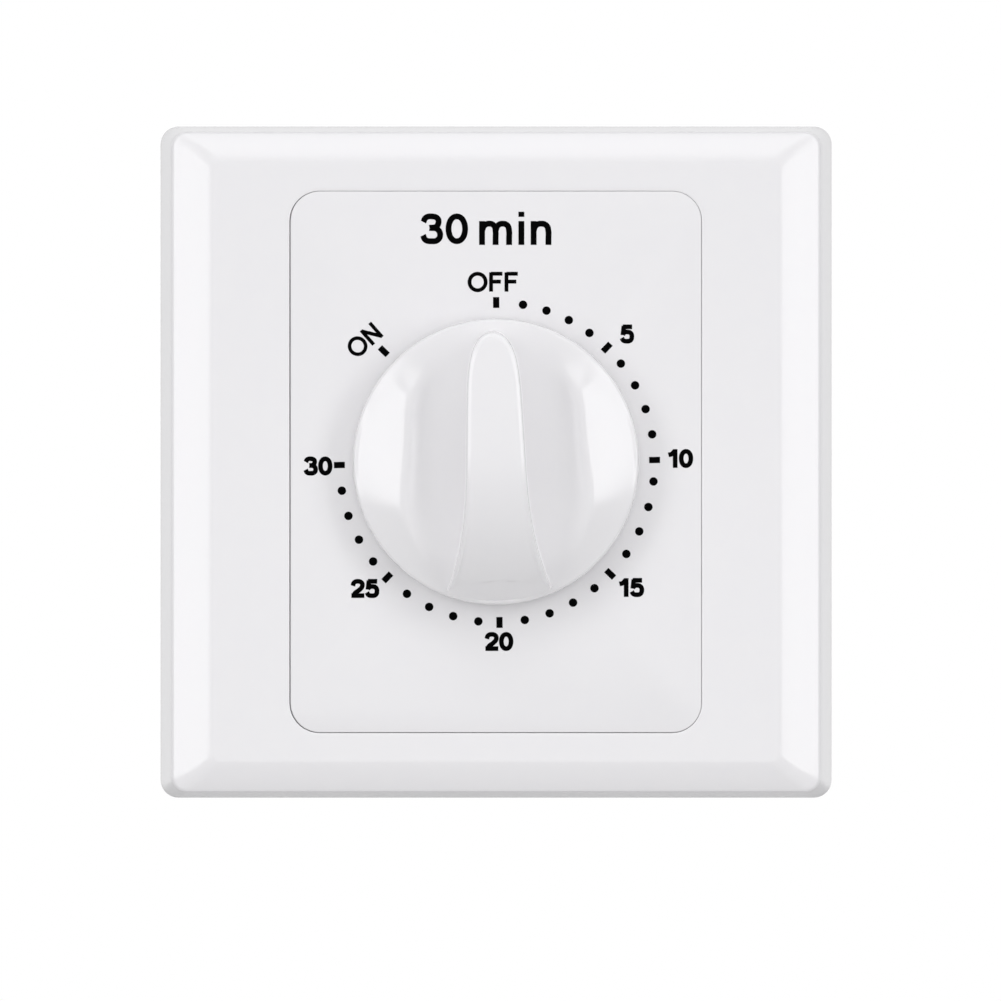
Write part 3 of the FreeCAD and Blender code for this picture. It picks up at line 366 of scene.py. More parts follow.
# half width and depth of the inside, whose four sides meet in mitres
side_wall, wall_inset, bevel_inset, inside_corner, wall_top = 1.8, 1.6, 5.8, 0.8, -5.7
inside = [
    (half_side - bevel_inset - side_wall / 3, ceiling),
    (half_side - wall_inset - side_wall, wall_top),
    (half_side - side_wall, frame_back),
]
for half, depth in inside:
    loop = extend_loop(bm, loop, rounded_rectangle(half, half, inside_corner, depth))
bmesh.ops.bridge_loops(bm, edges=rim + loop)
bmesh.ops.recalc_face_normals(bm, faces=bm.faces)
rib_half, rib_front, rib_back, rib_reach, past_window = 0.5, ceiling - 0.3, -5.2, 38.5, 0.4
hook_half, hook_front, hook_back, hook_tip, hook_root = 4, -1.9, -0.8, 40.25, 42.1
for side in (-1, 1):
    for along in (-26, 0, 26):
        ends = sorted((side * (window_x + past_window), side * rib_reach))
        box_part(bm, (ends[0], rib_front, along - rib_half), (ends[1], rib_back, along + rib_half))
    for along in (-14, 14):
        ends = sorted((side * (window_z + past_window), side * rib_reach))
        box_part(bm, (along - rib_half, rib_front, ends[0]), (along + rib_half, rib_back, ends[1]))
    for along in (-20, 20):
        ends = sorted((side * hook_tip, side * hook_root))
        box_part(bm, (along - hook_half, hook_front, ends[0]), (along + hook_half, hook_back, ends[1]))
face_frame = new_object("face_frame_moulding", finished_mesh(bm, "face_frame_moulding", 32))
face_frame.data.materials.append(abs_plastic)
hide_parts("face_frame")
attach(face_frame, "cover")

# Dial panel: the flush inner moulding of the same white ABS, with a softly rounded front edge
# that makes the fine seam. Its skirt, ribs and snap legs stay as the frame holds them.


def softened(node, name, width):
    """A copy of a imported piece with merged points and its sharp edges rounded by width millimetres."""
    merge_distance, flat_angle, sharp_angle = 0.002 * MM, 0.6, 32
    bm = bmesh.new()
    bm.from_mesh(frame["nodes"][node].data)
    bmesh.ops.remove_doubles(bm, verts=bm.verts, dist=merge_distance)
    bmesh.ops.dissolve_limit(
        bm, angle_limit=math.radians(flat_angle), verts=bm.verts, edges=bm.edges,
        use_dissolve_boundaries=False,
    )
    corners = [
        edge for edge in bm.edges
        if len(edge.link_faces) == 2 and edge.calc_face_angle(0) > math.radians(sharp_angle)
    ]
    bmesh.ops.bevel(
        bm, geom=corners, offset=width * MM, offset_type="OFFSET", segments=2, profile=0.5,
        affect="EDGES", material=-1, clamp_overlap=True,
    )
    return new_object(name, finished_mesh(bm, name, sharp_angle))


panel_rounding = 0.22
dial_panel = softened("dial_panel", "dial_panel_moulding", panel_rounding)
# a low step round the panel, which closes the seam a little behind the face
step_front, step_back, step_gap, step_wall = frame_face + 0.45, -6.2, 0.03, 0.3
outer = [size - step_gap for size in window]
inner = [size - step_wall for size in outer]
bm = bmesh.new()
rim = start_loop(bm, points_round, rounded_rectangle(*outer, step_front))
loop = extend_loop(bm, rim, rounded_rectangle(*outer, step_back))
loop = extend_loop(bm, loop, rounded_rectangle(*inner, step_back))
loop = extend_loop(bm, loop, rounded_rectangle(*inner, step_front))
bmesh.ops.bridge_loops(bm, edges=rim + loop)
bmesh.ops.recalc_face_normals(bm, faces=bm.faces)
seam_step = new_object("seam_step", finished_mesh(bm, "seam_step", 32))
panel_parts = [dial_panel, seam_step]
with bpy.context.temp_override(active_object=dial_panel, selected_editable_objects=panel_parts):
    bpy.ops.object.join()
dial_panel.data.materials.clear()
dial_panel.data.materials.append(abs_plastic)
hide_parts("dial_panel")
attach(dial_panel, "base")

# Printed dial: black pad-printing ink on the panel. A mark stands at OFF, at ON and at every
# five minutes, with four dots between them, a little unevenly spaced as on the real print. The
# numbers and words stand outside the marks.


def printing_ink():
    """Matt black pad-printing ink: opaque and slightly uneven, with no shine of its own."""
    material, tree, shader, place = new_material("black_printing_ink")
    # real ink is finer; its unevenness is drawn this coarse to show
    grain_width = 0.15 * MM
    grain = add_node(
        tree, "ShaderNodeTexNoise", values={"Scale": 1 / grain_width, "Detail": 3.0},
        links={"Vector": place},
    )
    shade = add_node(
        tree, "ShaderNodeMix", {"data_type": "RGBA"},
        {COLOUR_A: linear("#020202"), COLOUR_B: linear("#070708")}, {"Factor": grain.outputs["Fac"]},
    )
    tree.links.new(shade.outputs[MIXED_COLOUR], shader.inputs["Base Color"])
    shader.inputs["Roughness"].default_value = 0.55
    shader.inputs["Specular IOR Level"].default_value = 0.01
    return material


dial_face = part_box("dial_panel")[0].y / MM
ink_height = 0.02
dial_middle_px = (497.0, 462.5)
dial_middle = seen_at(dial_middle_px, dial_face)
# half width and height of the ring of marks, width and length of a mark, radius of a dot
dial_half, mark_size, dot_radius = (20.05, 20.35), (0.79, 1.38), 0.54
# turns in degrees: OFF, the start of the other marks, and one of their steps
off_turn, print_turn, mark_step = -0.3, -0.9, 45
# ON stands one step before OFF, and the numbers stand one to six steps after it
mark_steps, dot_groups, dots_in_group = (-1, 1, 2, 3, 4, 5, 6), 6, 4
# the turn from a mark to its first dot and from dot to dot; the first dots after OFF differ
dots_apart, first_dots_apart = (7.7, 9.35), (10.4, 8.8)


def on_dial(degrees):
    """Matrix that lays a flat shape on the ring of marks at a clockwise angle from the top."""
    turn = math.radians(degrees)
    x = dial_middle[0] + dial_half[0] * math.sin(turn)
    z = dial_middle[1] + dial_half[1] * math.cos(turn)
    lie = Matrix.Rotation(math.radians(90), 4, "X") @ Matrix.Rotation(-turn, 4, "Z")
    return Matrix.Translation(Vector((x, dial_face, z)) * MM) @ lie


bm = bmesh.new()
for degrees in [off_turn] + [print_turn + mark_step * step for step in mark_steps]:
    made = bmesh.ops.create_cube(bm, size=1.0)["verts"]
    bmesh.ops.scale(bm, verts=made, vec=Vector((*mark_size, 2 * ink_height)) * MM)
    bmesh.ops.transform(bm, matrix=on_dial(degrees), verts=made)
for group in range(dot_groups):
    first_dot, apart = dots_apart if group else first_dots_apart
    for dot in range(dots_in_group):
        made = bmesh.ops.create_cone(
            bm, cap_ends=True, segments=28, radius1=dot_radius * MM, radius2=dot_radius * MM,
            depth=2 * ink_height * MM,
        )["verts"]
        turned = on_dial(print_turn + mark_step * group + first_dot + apart * dot)
        bmesh.ops.transform(bm, matrix=turned, verts=made)
printed = [new_object("dial_marks", finished_mesh(bm, "dial_marks"))]


# Each letter has its width and its strokes, in heights of a capital: bars are straight, bows are
# smooth and rings are smooth and closed. Strokes that cross lie a layer apart, in millimetres.
layer_step = 0.003
strokes = {
    "0": (0.765, [("ring", [(0.382, 0.885), (0.64, 0.50), (0.382, 0.115), (0.125, 0.50)])]),
    "1": (0.62, [
        ("bar", [(0.42, 1.0), (0.42, 0.0)]),
        ("bow", [(0.06, 0.69), (0.24, 0.74), (0.37, 0.88)]),
    ]),
    "2": (0.77, [
        ("bow", [
            (0.12, 0.64), (0.17, 0.80), (0.38, 0.885), (0.59, 0.80), (0.62, 0.63), (0.46, 0.42),
            (0.24, 0.26), (0.15, 0.07),
        ]),
        ("bar", [(0.04, 0.12), (0.73, 0.12)]),
    ]),
    "3": (0.765, [
        ("bow", [
            (0.11, 0.71), (0.18, 0.84), (0.37, 0.885), (0.55, 0.82), (0.58, 0.70), (0.51, 0.57),
            (0.30, 0.53),
        ]),
        ("bow", [
            (0.30, 0.53), (0.54, 0.49), (0.63, 0.31), (0.55, 0.15), (0.37, 0.115), (0.17, 0.16),
            (0.10, 0.30),
        ]),
    ]),
    "5": (0.765, [
        ("bar", [(0.15, 0.885), (0.65, 0.885)]),
        ("bar", [(0.21, 0.93), (0.155, 0.44)]),
        ("bow", [
            (0.15, 0.49), (0.26, 0.585), (0.41, 0.61), (0.58, 0.54), (0.635, 0.34), (0.56, 0.16),
            (0.37, 0.115), (0.18, 0.16), (0.10, 0.29),
        ]),
    ]),
    "O": (1.05, [("ring", [(0.50, 0.93), (0.92, 0.50), (0.50, 0.07), (0.08, 0.50)])]),
    "F": (0.80, [
        ("bar", [(0.15, 1.0), (0.15, 0.0)]),
        ("bar", [(0.15, 0.93), (0.74, 0.93)]),
        ("bar", [(0.15, 0.52), (0.66, 0.52)]),
    ]),
    "N": (0.96, [
        ("bar", [(0.14, 1.0), (0.14, 0.0)]),
        ("bar", [(0.74, 1.0), (0.74, 0.0)]),
        ("bar", [(0.13, 0.95), (0.75, 0.05)]),
    ]),
    "m": (1.22, [
        ("bar", [(0.14, 0.74), (0.14, 0.0)]),
        ("bow", [
            (0.14, 0.44), (0.21, 0.60), (0.36, 0.66), (0.51, 0.60), (0.56, 0.42), (0.56, 0.2),
            (0.56, 0.0),
        ]),
        ("bow", [
            (0.56, 0.44), (0.63, 0.60), (0.78, 0.66), (0.93, 0.60), (0.98, 0.42), (0.98, 0.2),
            (0.98, 0.0),
        ]),
    ]),
    "i": (0.38, [
        ("bar", [(0.14, 0.74), (0.14, 0.0)]),
        ("bar", [(0.14, 1.03), (0.14, 0.87)]),
    ]),
    "n": (0.80, [
        ("bar", [(0.14, 0.74), (0.14, 0.0)]),
        ("bow", [
            (0.14, 0.44), (0.21, 0.60), (0.37, 0.66), (0.54, 0.60), (0.60, 0.42), (0.60, 0.2),
            (0.60, 0.0),
        ]),
    ]),
    " ": (0.26, []),
}


def mesh_as_shown(source):
    """A new mesh of an object as its bevel or modifiers show it."""
    bpy.context.view_layer.update()
    shown = source.evaluated_get(bpy.context.evaluated_depsgraph_get())
    return bpy.data.meshes.new_from_object(shown)


def lettering(text, height, place_px, weight, turned=0.0):
    """Letters stroked with a pen, their middle at a pixel of the photograph, turned by degrees.

    A capital is height millimetres high, and the pen is as wide as weight times that.
    """
    pen = bpy.data.curves.new("pen", "CURVE")
    nib = pen.splines.new("POLY")
    nib.points.add(3)
    for point, (side, up) in zip(nib.points, ((-1, -1), (1, -1), (1, 1), (-1, 1))):
        point.co = (side * weight * height / 2 * MM, up * ink_height * MM, 0, 1)
    nib.use_cyclic_u = True
    pen_object = new_object("pen", pen)
    curve = bpy.data.curves.new("strokes", "CURVE")
    curve.dimensions = "3D"
    curve.twist_mode = "Z_UP"
    curve.resolution_u = 8
    curve.bevel_mode = "OBJECT"
    curve.bevel_object = pen_object
    curve.use_fill_caps = True
    start = 0.0
    for letter in text:
        advance, parts = strokes[letter]
        for layer, (kind, points) in enumerate(parts):
            spline = curve.splines.new("BEZIER")
            spline.bezier_points.add(len(points) - 1)
            spline.use_cyclic_u = kind == "ring"
            for knot, (x, y) in zip(spline.bezier_points, points):
                knot.co = Vector(((start + x) * height, y * height, layer * layer_step)) * MM
                handle = "VECTOR" if kind == "bar" else "AUTO"
                knot.handle_left_type = knot.handle_right_type = handle
        start += advance
    source = new_object("strokes", curve)
    mesh = mesh_as_shown(source)
    for made in (source, pen_object):
        bpy.data.objects.remove(made)
    for made in (curve, pen):
        bpy.data.curves.remove(made)
    xs = [vert.co.x for vert in mesh.vertices]
    centre = Vector(((min(xs) + max(xs)) / 2, height / 2 * MM, 0))
    x, z = seen_at(place_px, dial_face)
    lie = Matrix.Rotation(math.radians(90), 4, "X") @ Matrix.Rotation(math.radians(turned), 4, "Z")
    put = Matrix.Translation(Vector((x, dial_face, z)) * MM)
    mesh.transform(put @ lie @ Matrix.Translation(-centre))
    return new_object("letters", mesh)


# the middle of each number and word in the photograph, in pixels
number_places = {
    "5": (627, 334), "10": (680.5, 458.5), "15": (631.5, 587.5), "20": (499, 641.5),
    "25": (365, 588.5), "30": (318, 466),
}
off_place, on_place, minutes_place = (492.7, 282), (363.8, 340.7), (486, 228.8)
for number, place_px in number_places.items():
    printed.append(lettering(number, 2.38, place_px, 0.25))
printed.append(lettering("OFF", 2.45, off_place, 0.2))
printed.append(lettering("ON", 2.42, on_place, 0.19, turned=41.5))
printed.append(lettering("30 min", 4.1, minutes_place, 0.182))
with bpy.context.temp_override(active_object=printed[0], selected_editable_objects=printed):
    bpy.ops.object.join()
dial_print = printed[0]
dial_print.name = "dial_print"
dial_print.data.materials.clear()
dial_print.data.materials.append(printing_ink())
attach(dial_print, "base")

# Knob: one moulding in the same white ABS. A round rim carries two sloping shoulders and, between
# them, a tall grip that comes to a rounded point at OFF and flares and falls away at its foot.
# All edges are blended. It is hollow below, round a boss that takes the shaft.
knob_lean = math.radians(-1.6)
knob_points, knob_radius, rim_radius, rim_height = 336, 18.15, 17.62, 4.7
# the grip is highest at crown_z, with a slight arc towards the nose and a rounder fall to the foot
crown, crown_z, crown_arc, foot_z = 15.5, 2.0, 65.0, -17.6
fall, fall_run = crown - rim_height, crown_z - foot_z
fall_radius = (fall_run ** 2 + fall ** 2) / (2 * fall)
nose_z, nose_foot_z = 16.2, 16.5
foot_radius, foot_slack, grip_half = 17.3, 0.02, 3.66


def smooth_least(a, b, blend):
    """The lesser of two heights, blended where they are close."""
    part = max(0.0, min(1.0, 0.5 + 0.5 * (b - a) / blend))
    return b * (1 - part) + a * part - blend * part * (1 - part)


def grip_half_width(z):
    """Half width of the grip's top at z: a blunt arch at the nose, a slow flare towards the foot."""
    taper, nose_bluntness, flare, flare_growth = 0.034, 6.6, 0.00167, 2.6
    half = grip_half - taper * z
    if z > 0:
        return half * math.sqrt(max(0.0, 1 - (z / nose_z) ** nose_bluntness))
    return half + flare * (-z) ** flare_growth


def grip_top(x, z):
    """Height of the grip's top: a slight arc up from the nose, then a growing fall to the foot."""
    rim_step, rim_slope, blend = 0.35, 1.9, 1.4
    if z > crown_z:
        return crown - (z - crown_z) ** 2 / (2 * crown_arc)
    level = crown - fall_radius + math.sqrt(max(0.0, fall_radius ** 2 - (crown_z - z) ** 2))
    near_rim = rim_height + rim_step + (rim_radius - math.hypot(x, z)) * rim_slope
    return smooth_least(level, near_rim, blend)


def shoulder(x, z):
    """Height of the knob beside the grip: a hollow, a soft slanted crease, a slope out to the rim."""
    out, far = abs(x), math.hypot(x, z)
    crease_middle, crease_slant, crease_height, outer_slope = 11.2, 0.11, 7.2, 0.38
    crease = crease_middle - crease_slant * z
    slope = crease_height - (out - crease) * outer_slope
    # between the grip and the crease lies a hollow, steeper towards the crease, deeper at the nose
    grip_foot, hollow_edge, hollow_depth, inner_share = 3.6, 0.1, 0.8, 0.4
    nose_depth, nose_reach = 1.5, 16.7
    middle, half = (crease + grip_foot) / 2, (crease - grip_foot) / 2
    across = (out - middle) / half
    across *= 1.0 if across > 0 else inner_share
    lowered = hollow_depth * (1 - across ** 2)
    hollow = crease_height - hollow_edge - lowered - nose_depth * (max(z, 0) / nose_reach) ** 2
    # inside the rim rises a cone, flatter beside the nose, which an arch from nose to foot cuts off
    cone_slope, cone_flatter, flatter_from, flatter_run = 0.525, 0.35, 0.6, 0.35
    arch_height, arch_fall, arch_reach = 7.5, 3.4, 20.15
    up = max(0.0, min(1.0, (z / far - flatter_from) / flatter_run))
    cone = rim_height + (rim_radius - far) * (cone_slope - cone_flatter * up * up * (3 - 2 * up))
    arch = arch_height - arch_fall * (z / arch_reach) ** 2
    crease_blend, arch_blend, rim_blend = 0.5, 0.6, 0.5
    beside_grip = smooth_least(slope, hollow, crease_blend)
    return smooth_least(beside_grip, smooth_least(cone, arch, arch_blend), rim_blend)


def grip_outline():
    """Points round the grip's top, evenly spaced, clockwise from the nose; the foot follows the rim."""
    side_steps, foot_steps = 1200, 60
    half = []
    for step in range(side_steps + 1):
        z = nose_z - (nose_z + foot_radius) * (1 - math.cos(math.pi / 2 * step / side_steps))
        half.append((grip_half_width(z), z))
    half = [point for point in half if math.hypot(*point) < foot_radius]
    corner = math.atan2(half[-1][0], -half[-1][1])
    for step in range(1, foot_steps + 1):
        turn = corner * (1 - step / foot_steps)
        half.append((foot_radius * math.sin(turn), -foot_radius * math.cos(turn)))
    lengths = [0.0]
    for before, after in zip(half, half[1:]):
        lengths.append(lengths[-1] + math.dist(before, after))
    right = []
    at = 0
    for step in range(knob_points // 2 + 1):
        target = lengths[-1] * step * 2 / knob_points
        while at < len(lengths) - 2 and lengths[at + 1] < target:
            at += 1
        part = (target - lengths[at]) / (lengths[at + 1] - lengths[at])
        right.append(tuple(a + (b - a) * part for a, b in zip(half[at], half[at + 1])))
    return right + [(-x, z) for x, z in right[-2:0:-1]]


outline = grip_outline()
outward, rim_turns = [], []
on_foot = [math.hypot(*point) > foot_radius - foot_slack for point in outline]
corner_index = on_foot.index(True)
corner_turn = math.atan2(*outline[corner_index])
for index in range(knob_points):
    (x0, z0), (x1, z1) = outline[index - 1], outline[(index + 1) % knob_points]
    outward.append(Vector((z0 - z1, x1 - x0)).normalized())
    near = min(index, knob_points - index)
    if near < corner_index:
        turn = corner_turn * near / corner_index
    else:
        turn = abs(math.atan2(*outline[index]))
    rim_turns.append(turn if index == near else -turn)


def knob_place(x, z, height):
    """A point of the knob at a place in front view and a height over the dial, turned by the lean."""
    turned_x = x * math.cos(knob_lean) + z * math.sin(knob_lean)
    turned_z = z * math.cos(knob_lean) - x * math.sin(knob_lean)
    return Vector((turned_x, dial_face - height, turned_z)) * MM


# how far inside the rim the grip and its fillet stay
rim_margin = 0.1


def inside_rim(x, z):
    """The place itself, or the nearest one that lies inside the rim."""
    share = min(1.0, (rim_radius - rim_margin) / math.hypot(x, z))
    return x * share, z * share


def at_foot(index):
    """True where the outline follows the rim, so that the grip runs out into it with no wall."""
    return corner_index <= index <= knob_points - corner_index


grip_edge, draft, fillet_run, shoulder_rings = 0.6, 0.04, 0.25, 44
# the rounded edge of the grip, as distances in from its side and down from its top
edge_curve = [
    (0.52, 0.01), (0.43, 0.038), (0.31, 0.085), (0.19, 0.132), (0.10, 0.172), (0.035, 0.25),
    (0.0, 0.37),
]


def on_top(share):
    """place(i) on the grip's top, from its middle line at 0 to its outline at 1."""
    line_front, line_back = 12.5, -15.0

    def place(index):
        (x, z), away = outline[index], outward[index]
        x, z = x - away.x * grip_edge, z - away.y * grip_edge
        line_z = max(min(z, line_front), line_back)
        x, z = x * share, line_z + (z - line_z) * share
        return knob_place(x, z, grip_top(x, z))
    return place


def grip_side(part, step):
    """place(i) down the grip's side: its rounded edge, then its wall, then the fillet at its foot."""
    # where the wall gets lower than full_edge, its edge and its fillet shrink with it
    full_edge, fillet_height, fillet_share = 1.5, 0.25, 0.3

    def place(index):
        (x, z), away = outline[index], outward[index]
        if at_foot(index):
            out = {"edge": step / 3, "wall": (1 + step) / 3, "fillet": (2 + step) / 3}[part]
            out = (grip_edge + rim_radius - rim_margin - foot_radius) * out - grip_edge
            x, z = x + away.x * out, z + away.y * out
            return knob_place(x, z, grip_top(x, z))
        foot_x, foot_z = x + away.x * draft, z + away.y * draft
        foot_z += (max(z, 0) / nose_z) ** 4 * (nose_foot_z - nose_z)
        end_x, end_z = inside_rim(foot_x + away.x * fillet_run, foot_z + away.y * fillet_run)
        foot_x, foot_z = inside_rim(foot_x, foot_z)
        top, base = grip_top(x, z), shoulder(end_x, end_z)
        tall = max(top - base, 0.0)
        shrink = min(1.0, tall / full_edge)
        edge_drop, fillet = edge_curve[-1][1] * shrink, min(fillet_height, tall * fillet_share)
        turn = math.radians(90 * step)
        if part == "edge":
            inset, drop = edge_curve[round(step * len(edge_curve)) - 1]
            return knob_place(x - away.x * inset, z - away.y * inset, top - drop * shrink)
        if part == "wall":
            height = top - edge_drop - (tall - edge_drop - fillet) * step
            return knob_place(x + (foot_x - x) * step, z + (foot_z - z) * step, height)
        near = 1 - math.cos(turn)
        height = base + fillet * (1 - math.sin(turn))
        return knob_place(foot_x + (end_x - foot_x) * near, foot_z + (end_z - foot_z) * near, height)
    return place


def towards_rim(share):
    """place(i) on the shoulder, from the foot of the grip at 0 to the rim at 1."""
    start = grip_side("fillet", 1.0)

    def place(index):
        begin = start(index) / MM
        x = begin.x * math.cos(knob_lean) - begin.z * math.sin(knob_lean)
        z = begin.z * math.cos(knob_lean) + begin.x * math.sin(knob_lean)
        x += (rim_radius * math.sin(rim_turns[index]) - x) * share
        z += (rim_radius * math.cos(rim_turns[index]) - z) * share
        return knob_place(x, z, grip_top(x, z) if at_foot(index) else shoulder(x, z))
    return place


def round_place(radius, height):
    """place(i) on a circle, at the turns of the rim's points."""
    def place(index):
        turn = rim_turns[index]
        return knob_place(radius * math.sin(turn), radius * math.cos(turn), height)
    return place


bm = bmesh.new()
loop = start_loop(bm, knob_points, on_top(0.0))
for share in (0.2, 0.4, 0.6, 0.8, 0.92, 1.0):
    loop = extend_loop(bm, loop, on_top(share))
for part, count in (("edge", len(edge_curve)), ("wall", 4), ("fillet", 5)):
    for step in range(1, count + 1):
        loop = extend_loop(bm, loop, grip_side(part, step / count))
for step in range(1, shoulder_rings + 1):
    loop = extend_loop(bm, loop, towards_rim(step / shoulder_rings))
# radius and height over the dial: the rounded rim, the skirt, the hollow below, the boss, its bore
rounded_rim = [(17.78, 4.62), (17.93, 4.54), (18.03, 4.38), (18.11, 4.02), (knob_radius, 3.65)]
foot_height, foot_edge, hollow_height, bore_height = 0.5, 0.7, 3.0, 11.9
skirt_inside, boss_radius, bore_radius = 15.7, 5.6, 3.05
skirt = [
    (knob_radius, foot_edge),
    (knob_radius - 0.12, foot_height),
    (skirt_inside + 0.3, foot_height),
    (skirt_inside, foot_edge),
    (skirt_inside, hollow_height),
]
boss = [
    (boss_radius, hollow_height),
    (boss_radius, foot_edge),
    (boss_radius - 0.2, foot_height),
    (bore_radius + 0.2, foot_height),
    (bore_radius, foot_edge),
    (bore_radius, bore_height),
]
for radius, height in rounded_rim + skirt + boss:
    loop = extend_loop(bm, loop, round_place(radius, height))
bmesh.ops.contextual_create(bm, geom=loop)
bmesh.ops.remove_doubles(bm, verts=bm.verts, dist=0.004 * MM)
bmesh.ops.recalc_face_normals(bm, faces=bm.faces)
# four ribs from the boss to the skirt, and the flat of the bore that meets the flat of the shaft
rib_half, rib_start, rib_end, rib_foot, rib_top = 0.6, 5.4, 15.9, 0.55, 3.1
for turn in (45, 135, 225, 315):
    low_corner = (-rib_half, dial_face - rib_top, rib_start)
    high_corner = (rib_half, dial_face - rib_foot, rib_end)
    rib = box_part(bm, low_corner, high_corner)
    turned = Matrix.Rotation(math.radians(turn) + knob_lean, 3, "Y")
    bmesh.ops.rotate(bm, verts=rib, cent=(0, 0, 0), matrix=turned)
flat_half, flat_low, flat_face, flat_foot, flat_top = 2.6, -4.2, -2.75, 0.8, 12.0
low_corner = (-flat_half, dial_face - flat_top, flat_low)
high_corner = (flat_half, dial_face - flat_foot, flat_face)
box_part(bm, low_corner, high_corner)
knob = new_object("knob_moulding", finished_mesh(bm, "knob_moulding", 50))
knob.data.materials.append(abs_plastic)
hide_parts("knob")
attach(knob, "knob_and_shaft")

# Mounting screws: two M4 x 25 pan-head steel screws, zinc plated and passivated in a yellow
# chromate that shimmers from gold to pink and green. The head has a slot crossed by a recess.


def chromated_zinc():
    """Yellow-chromated zinc: a bright metal film whose colour wanders from gold to pink to green."""
    material, tree, shader, place = new_material("chromated_zinc_plating")
    bloom_width = 1.6 * MM
    bloom = add_node(
        tree, "ShaderNodeTexNoise", values={"Scale": 1 / bloom_width, "Detail": 2.0, "Distortion": 0.6},
        links={"Vector": place},
    )
    colours = add_node(tree, "ShaderNodeValToRGB", links={"Fac": bloom.outputs["Fac"]})
    ramp = colours.color_ramp
    ramp.elements[0].position, ramp.elements[0].color = 0.30, linear("#C98A6A")
    ramp.elements[1].position, ramp.elements[1].color = 0.70, linear("#B9B98A")
    for position, code in ((0.42, "#D98C86"), (0.52, "#E0B088"), (0.60, "#E3C79A")):
        ramp.elements.new(position).color = linear(code)
    tree.links.new(colours.outputs["Color"], shader.inputs["Base Color"])
    shader.inputs["Metallic"].default_value = 1.0
    shader.inputs["Roughness"].default_value = 0.24
    return material


def cut_away(piece, cutter_bm):
    """The mesh of a piece with the cutter's room taken out of it."""
    cutter = new_object("cutter", finished_mesh(cutter_bm, "cutter"))
    cut = piece.modifiers.new("cut", "BOOLEAN")
    cut.operation, cut.solver, cut.object = "DIFFERENCE", "EXACT", cutter
    mesh = mesh_as_shown(piece)
    piece.modifiers.clear()
    bpy.data.objects.remove(cutter)
    return mesh


screw_radius, thread_pitch, thread_depth = 2.0, 0.7, 0.36
screw_end, screws_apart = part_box("mounting_screws")[1].y / MM, 60.3
head_seat, head_height, head_radius = -1.6, 2.5, 3.9
head_top = head_seat - head_height
# one turn's section of the thread, as radius and depth: flank, crest, flank, root
root_radius = screw_radius - thread_depth
crest_start, crest_end, root_start, plain_tip = 0.40, 0.52, 0.92, 0.6
section = [
    (root_radius, 0.0),
    (screw_radius, thread_pitch * crest_start),
    (screw_radius, thread_pitch * crest_end),
    (root_radius, thread_pitch * root_start),
    (root_radius, thread_pitch),
]
thread_turns, turn_steps = int((screw_end - plain_tip) / thread_pitch), 28
# radius and depth of the core, from its tip to the neck, and of the head, from its seat to its top;
# the ends lie a hair off the axis, and merging closes them
core_radius, neck_radius, hair = root_radius - 0.01, 1.75, 0.01
core = [
    (hair, screw_end),
    (core_radius - 0.3, screw_end),
    (core_radius, screw_end - 0.4),
    (core_radius, 0.3),
    (neck_radius, 0.0),
]
head = [
    (neck_radius, head_seat),
    (head_radius - 0.1, head_seat),
    (head_radius, head_seat - 0.15),
    (head_radius, head_seat - 1.1),
    (head_radius - 0.35, head_seat - 1.85),
    (head_radius - 1.1, head_seat - 2.3),
    (head_radius - 2.2, head_top),
    (hair, head_top),
]
# half length, depth and taper of the slot and of the recess that crosses it
recesses = ((head_radius + 0.3, 1.25, 0.999), (2.3, 1.7, 0.45))
slot_half, slot_turns, over_head, screw_smooth = 0.5, {-1: 62, 1: 18}, 1, 35


def spun_part(outline, axis_x, turns, steps, climb, merge):
    """A bmesh of an outline spun round a screw's axis, in millimetres, climbing a little each step."""
    bm = bmesh.new()
    verts = [bm.verts.new(Vector((axis_x + radius, depth, 0)) * MM) for radius, depth in outline]
    edges = [bm.edges.new(pair) for pair in zip(verts, verts[1:])]
    bmesh.ops.spin(
        bm, geom=verts + edges, cent=(axis_x * MM, 0, 0), axis=(0, 1, 0),
        angle=math.radians(360 * turns), steps=steps, dvec=(0, climb * MM, 0), use_merge=climb == 0,
    )
    bmesh.ops.remove_doubles(bm, verts=bm.verts, dist=merge * MM)
    bmesh.ops.recalc_face_normals(bm, faces=bm.faces)
    return bm


screws = []
for side in (-1, 1):
    axis_x = side * screws_apart / 2
    climb, steps = thread_pitch / turn_steps, turn_steps * thread_turns
    bm = spun_part(section, axis_x, thread_turns, steps, climb, merge=0.005)
    screws.append(new_object("thread", finished_mesh(bm, "thread", screw_smooth)))
    bm = spun_part(core + head, axis_x, turns=1, steps=48, climb=0, merge=0.012)
    screw = new_object("screw", finished_mesh(bm, "screw"))
    turned = Matrix.Rotation(math.radians(slot_turns[side]), 3, "Y")
    for reach, deep, taper in recesses:
        bm = bmesh.new()
        low_corner = (axis_x - reach, head_top - over_head, -slot_half)
        high_corner = (axis_x + reach, head_top + deep, slot_half)
        arm = box_part(bm, low_corner, high_corner)
        bottom = [vert for vert in arm if vert.co.y > (head_top + deep / 2) * MM]
        middle = Matrix.Translation((-axis_x * MM, 0, 0))
        bmesh.ops.scale(bm, verts=bottom, vec=(taper, 1, taper), space=middle)
        bmesh.ops.rotate(bm, verts=arm, cent=(axis_x * MM, 0, 0), matrix=turned)
        screw.data = cut_away(screw, bm)
        turned = turned @ Matrix.Rotation(math.radians(90), 3, "Y")
    screw.data.shade_smooth()
    screw.data.set_sharp_from_angle(angle=math.radians(screw_smooth))
    screws.append(screw)
with bpy.context.temp_override(active_object=screws[0], selected_editable_objects=screws):
    bpy.ops.object.join()
mounting_screws = screws[0]
mounting_screws.name = "mounting_screws_threaded"
mounting_screws.data.materials.append(chromated_zinc())
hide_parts("mounting_screws")
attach(mounting_screws, "base")

